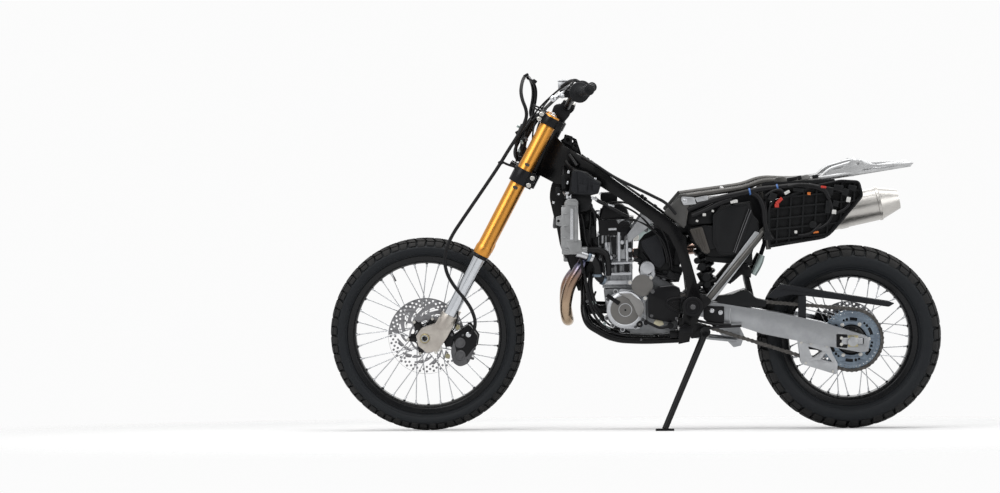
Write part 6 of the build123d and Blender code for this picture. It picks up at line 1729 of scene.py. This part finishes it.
def make_side_boxes():
    """Airbox cover, snorkel, mounts and coloured connectors."""
    build("airbox_cover", moulded, [
        (slab, [(262, 773), (299, 802), (391, 816), (402, 772), (421, 753), (424, 720), (373, 657), (336, 631),
             (284, 632), (262, 673)], -103, -92, 9, 3),
        (slab, [(393, 796), (401, 776), (350, 636), (334, 634)], -108, -98, 3, 2),
        (slab, [(270, 768), (300, 792), (384, 806), (330, 640), (288, 640), (270, 678)], -105.5, -98, 7, 1.5)])
    # Painted highlights: two lighter metal lines along the edges of the cover's black ridge.
    build("airbox_cover_edges", dark_steel, [
        (tube, [(396, -108.6, 790), (366, -108.6, 712), (340, -108.6, 640)], 1.8, 8),
        (tube, [(389, -108.6, 794), (358, -108.6, 712), (334, -108.6, 642)], 1.2, 8)])
    build("intake_snorkel", brown_moulded, [
        (slab, [(180, 721), (225, 732), (239, 688), (254, 640), (236, 634), (199, 677)], -104, -74, 8, 3),
        *((tube, [(a[0], -104.5, a[1]), ((a[0] + b[0]) / 2, -104.9, (a[1] + b[1]) / 2 - 3), (b[0], -104.5, b[1])],
             1.7, 8) for a, b in (((197, 716), (226, 644)), ((206, 720), (232, 646)), ((216, 724), (240, 648))))],
        smooth=40)
    build("rubber_mounts", moulded, [
        *((rod, [(r, -10), (r, 6), (r - 3, 9)], (x, -84, z), LEFT, 24) for x, z,
             r in ((224, 588, 15), (239, 551, 17), (243, 525, 14), (207, 610, 11))),
        (slab, [(236, 626), (300, 620), (356, 628), (402, 672), (404, 600), (330, 596), (240, 606)], -60, 60, 10,
             3),
        (slab, [(170, 780), (196, 806), (262, 812), (262, 740), (200, 736), (176, 740)], -84, -40, 8, 3)])
    build("white_connectors", white_plastic,
        [*((box, place, size, turn, 2) for place, size, turn in (((336, -112, 820), (26, 14, 11), -0.15),
        ((232, -108, 774), (12, 12, 10), 0), ((207, -104, 752), (9, 10, 8), 0.3), ((262, -108, 787), (8, 10, 8),
        0), ((520, -132, 852), (20, 16, 10), -0.5), ((734, -132, 826), (14, 14, 18), 0.2),
        ((684, -130, 783), (15, 14, 15), 0.1), ((551, -126, 713), (10, 12, 10), 0)))])
    build("red_connectors", red_plastic, [
        (box, (492, -134, 822), (30, 14, 11), -0.8, 2),
        (box, (484, -133, 806), (15, 14, 12), 0, 2),
        (box, (647, -130, 870), (20, 12, 8), 0.1, 2)])
    build("orange_connectors", orange_plastic, [
        (box, (621, -124, 712), (20, 10, 7), -0.1, 1.5),
        (box, (597, -122, 847), (12, 10, 10), 0, 1.5)])
    build("blue_ties", blue_plastic, [*((hoop, [(11, -3), (12.4, -3), (12.4, 3), (11, 3)], (x, y, z), (1, 0, 0.2),
        20) for x, y, z in ((391, -112, 854), (487, -116, 868)))])


def make_tail_looms():
    """Looms and modules on the tail tray."""
    wire("rail_looms", [[(176, -100, 792), (206, -108, 806), (252, -110, 822), (310, -110, 838), (380, -112, 852),
        (430, -114, 864), (486, -116, 868), (556, -118, 876), (620, -120, 872), (656, -126, 856),
        (668, -128, 830)], [(190, -96, 770), (236, -104, 790), (286, -108, 816), (330, -110, 828)],
        [(396, -112, 852), (424, -116, 836), (440, -118, 800), (444, -118, 748), (452, -118, 712),
        (470, -120, 687)]], 10, hose_rubber, "chassis", 14)
    wire("tail_looms", [[(443, -116, 820), (450, -122, 770), (446, -122, 720), (462, -122, 684)],
        [(523, -128, 872), (560, -130, 880), (600, -130, 878), (650, -130, 866), (664, -130, 833),
        (677, -130, 806), (680, -130, 780), (671, -130, 753), (648, -128, 732), (622, -126, 722)],
        [(512, -128, 846), (500, -128, 862), (470, -124, 858), (446, -120, 840)],
        [(656, -128, 868), (700, -130, 860), (726, -130, 846), (740, -128, 810), (720, -128, 790),
        (690, -128, 778)], [(640, -126, 740), (600, -126, 704), (560, -124, 700)]], 5.2)
    build("tray_modules", moulded, [
        *((box, place, size, turn, 3) for place, size, turn in (((668, -124, 852), (26, 18, 22), 0.2),
             ((700, -126, 868), (34, 18, 18), 0.1), ((724, -126, 852), (22, 18, 26), 0.3),
             ((664, -124, 800), (20, 18, 46), 0.1), ((690, -126, 812), (20, 16, 22), 0.2),
             ((612, -122, 738), (22, 14, 22), 0), ((560, -122, 860), (40, 16, 14), 0.1),
             ((470, -122, 836), (26, 18, 30), 0.4), ((452, -120, 700), (24, 18, 30), 0),
             ((748, -122, 866), (30, 16, 20), 0.2))),
        (rod, [(13, 114), (13, 126), (10, 128)], (612, 0, 738), LEFT, 24)])
    outline = [(458, 661), (525, 672), (662, 694), (784, 838), (771, 888), (707, 892), (616, 873), (458, 814)]
    edge = [(x, -121, z) for x, z in outline]
    build("tray_rim", moulded, [(tube, edge + [edge[0], edge[1]], 4.2, 10, 0.2, 3)])


def make_tail_metal():
    """Tail plates, struts, rear reservoir and muffler can."""
    build("tail_side_plates", tail_alloy,
        [*(row for side in (1, -1) for row in ((slab, [(657, 916), (662, 926), (712, 931), (748, 961), (788, 961),
        (801, 947), (836, 943), (836, 936), (790, 928), (755, 904), (654, 910)], -86 * side, -80 * side, 5, 1.5,
        [(772, 949, 5)]), (slab, [(790, 932), (964, 946), (966, 952), (838, 945), (800, 946)], -88 * side,
        -80 * side, 2, 1)))], smooth=30)
    build("rail_rubbers", moulded, [*((box, (x, -84, z), (w, 26, h), -0.15, 4) for x, z, w,
        h in ((446, 876, 34, 16), (470, 886, 22, 14), (540, 896, 40, 14), (566, 900, 18, 16), (392, 862, 30, 12),
        (622, 905, 22, 12)))])
    build("rail_brackets", rail_alloy_painted_shade, [
        (slab, [(470, 884), (484, 902), (512, 905), (528, 892), (520, 880)], -96, -88, 4, 1.5),
        (slab, [(548, 884), (600, 896), (606, 908), (590, 912), (548, 898)], -96, -88, 4, 1.5)])
    build("flat_strut", satin_alloy, [(slab, [(410, 716), (441, 701), (269, 475), (240, 465), (235, 484)], -112,
        -104, 5, 1.8)], smooth=30)
    hex_bolts("flat_strut_bolt", [((242, -112, 476), LEFT, 1.4)], spoke_steel)
    build("rear_reservoir", bracket_zinc, [(tube, [(438, -40, 625), (426, -40, 591), (407, -40, 557)], 13, 20,
        0.45, 4, [11, 13, 12])])
    build("brake_bracket", satin_black, [
        (slab, [(374, 599), (401, 577), (398, 545), (365, 558), (329, 527), (324, 540), (356, 574)], -60, -40, 5,
             2),
        (slab, [(374, 563), (394, 545), (412, 469), (394, 469)], -50, -40, 4, 2)])
    place, way = Vector((520, 142, 716)), Vector((430, 0, 96)).normalized()
    build("muffler_can", muffler_steel, [
        (rod, [(34, 0), (44, 10), (58.5, 44), (59, 48), (59, 352), (61.5, 353.5), (61.5, 362), (58.5, 364),
             (36, 428), (35, 432), (28, 432), (26, 424), (26, 400)], place, way, 72),
        (hoop, [(59, 205), (61.2, 205), (61.2, 235), (59, 235)], place, way, 72),
        (hoop, [(59, 56), (60.2, 57), (60.2, 64), (59, 65)], place, way, 72),
        (box, place + way * 220 + Vector((0, -46, 48)), (30, 44, 8), 0, 1.5)],
        replaces=("muffler_and_bracket",))


make_frame_details()
make_spring()
make_regulator()
make_radiator_details()
make_side_boxes()
make_tail_looms()
make_tail_metal()

# ---- closer engine detail ----------------------------------------------------------------------------------------
def make_engine_recesses():
    """Black plates painted as the shade in the hollows, bright ribs, looms and plugs between the engine and the
    frame.
    """
    # Painted shade: satin black plates fill the hollows between the cylinder's ribs.
    build("engine_recesses", satin_black, [
        *((slab, points, -78, -60, 3, 1.2) for points in ([(-109, 726), (-97, 726), (-97, 676), (-110, 676)],
             rect(-90, 676, -76, 618), [(-129, 672), (-120, 672), (-119, 568), (-128, 568)],
             rect(-76, 604, -65, 568), [(-59, 712), (-47, 712), (-49, 651), (-60, 651)],
             [(-34, 676), (-22, 676), (-22, 622), (-33, 622)], rect(-105, 604, -85, 586),
             [(-49, 604), (-33, 604), (-33, 571), (-49, 572)])),
        (slab, [(-140, 756), (-75, 755), (-66, 730), (-30, 734), (-14, 712), (-40, 699), (-136, 700)], -76, -60, 5,
             2)])
    build("engine_bright_ribs", engine_cover, [
        *((slab, points, -80, -60, 2.5, 1.6) for points in ([(-119, 604), (-22, 607), (-20, 600), (-119, 597)],
             [(-116, 568), (-24, 570), (-22, 561), (-116, 559)], [(-117, 676), (-108, 676), (-107, 568),
             (-116, 568)], [(-72, 712), (-63, 712), (-62, 608), (-71, 608)], [(-43, 685), (-36, 685), (-35, 608),
             (-42, 608)], [(-121, 541), (-22, 541), (-17, 528), (-121, 527)], [(-104, 726), (-75, 727), (-75, 719),
             (-104, 718)])),
        *((rod, [(7.5, -10), (7.5, 3), (6, 4.5)], (x, -80, z), LEFT, 20) for x, z in ((-110, 650), (-56, 676),
             (-29, 649), (-97, 622)))], smooth=30)
    wire("engine_bay_looms", [[(-200, -90, 777), (-190, -88, 732), (-187, -84, 686), (-169, -80, 641),
        (-153, -74, 604), (-143, -70, 568)], [(-168, -80, 803), (-165, -78, 758), (-174, -76, 713),
        (-169, -72, 667), (-157, -66, 640)], [(-152, -60, 774), (-151, -62, 730), (-153, -64, 685),
        (-146, -62, 648)], [(-169, -50, 783), (-145, -60, 774), (-136, -66, 755)], [(7, -90, 803), (32, -92, 776),
        (59, -94, 752), (86, -94, 720), (104, -92, 677)], [(-48, -86, 758), (-12, -90, 756), (32, -92, 738),
        (70, -92, 704), (96, -88, 649), (103, -84, 604)], [(14, -60, 638), (41, -66, 603), (77, -70, 585),
        (122, -70, 577), (154, -66, 566)], [(1, -54, 602), (32, -60, 577), (77, -64, 566), (122, -66, 539)],
        [(-193, -76, 587), (-184, -80, 533), (-175, -82, 488), (-158, -84, 443), (-122, -84, 397)],
        [(-170, -66, 568), (-175, -72, 523), (-161, -76, 478), (-147, -80, 442)],
        [(-208, -90, 642), (-198, -86, 606), (-195, -82, 569)]], 5, hose_rubber, "chassis", 10)
    build("intake_and_loom_blocks", moulded,
        [*((box, place, size, turn, 4) for place, size, turn in (((-178, -70, 694), (24, 20, 60), 0),
        ((-160, -64, 712), (22, 18, 46), 0.1), ((-149, -60, 675), (20, 18, 40), 0),
        ((-177, -70, 766), (20, 16, 30), 0), ((32, -60, 580), (60, 40, 26), 0.1), ((86, -56, 601), (70, 40, 46),
        0.2), ((131, -58, 576), (50, 36, 30), 0.2), ((77, -50, 637), (44, 34, 50), 0.1),
        ((140, -52, 619), (30, 30, 70), 0.3), ((109, -60, 566), (44, 26, 18), 0.1), ((158, -60, 674), (26, 26, 50),
        0.1), ((-160, -60, 648), (20, 14, 24), 0.2)))])
    build("engine_bay_plugs", dark_steel, [*((rod, [(r, -deep), (r, 2), (r - 2.5, 4)], place, LEFT, 22) for place,
        r, deep in (((24, -84, 586), 13, 14), ((42, -84, 595), 9, 12), ((121, -84, 550), 13, 16),
        ((91, -82, 546), 8, 12), ((50, -92, 727), 9, 8), ((29, -90, 720), 7, 8)))])


def make_deep_parts():
    """Inner looms, ducts and covers that close the views through the middle of the machine."""
    build("inner_covers", moulded, [
        (slab, [(171, 802), (194, 824), (337, 835), (426, 854), (444, 728), (426, 711), (399, 621), (247, 622),
             (184, 676), (171, 730)], -62, 62, 12, 3),
        (slab, [(10, 717), (32, 738), (104, 712), (139, 649), (150, 568), (146, 532), (49, 533), (14, 569),
             (-4, 623)], -58, 40, 12, 3),
        (slab, [(-213, 814), (-160, 813), (-146, 711), (-141, 638), (-152, 548), (-193, 548), (-202, 675)], -56,
             -20, 10, 3),
        (slab, [(440, 690), (440, 884), (560, 890), (690, 896), (690, 880), (600, 866), (470, 822), (458, 812),
             (458, 700)], -100, -90, 4, 1.5),
        (slab, [(268, 486), (332, 493), (363, 507), (390, 503), (412, 479), (451, 470), (447, 447), (282, 450)],
             -104, -72, 6, 2.5)])
    wire("inner_looms", [[(212, -60, 565), (230, -66, 529), (247, -70, 493), (283, -70, 475), (337, -66, 478)],
        [(166, -90, 496), (193, -84, 513), (229, -80, 531), (274, -70, 539)], [(321, -40, 526), (331, -44, 563),
        (365, -50, 590), (402, -50, 599)], [(-166, -60, 567), (-170, -66, 513), (-154, -70, 459),
        (-135, -72, 414)]], 8, hose_rubber, "chassis", 12)


make_engine_recesses()
make_deep_parts()
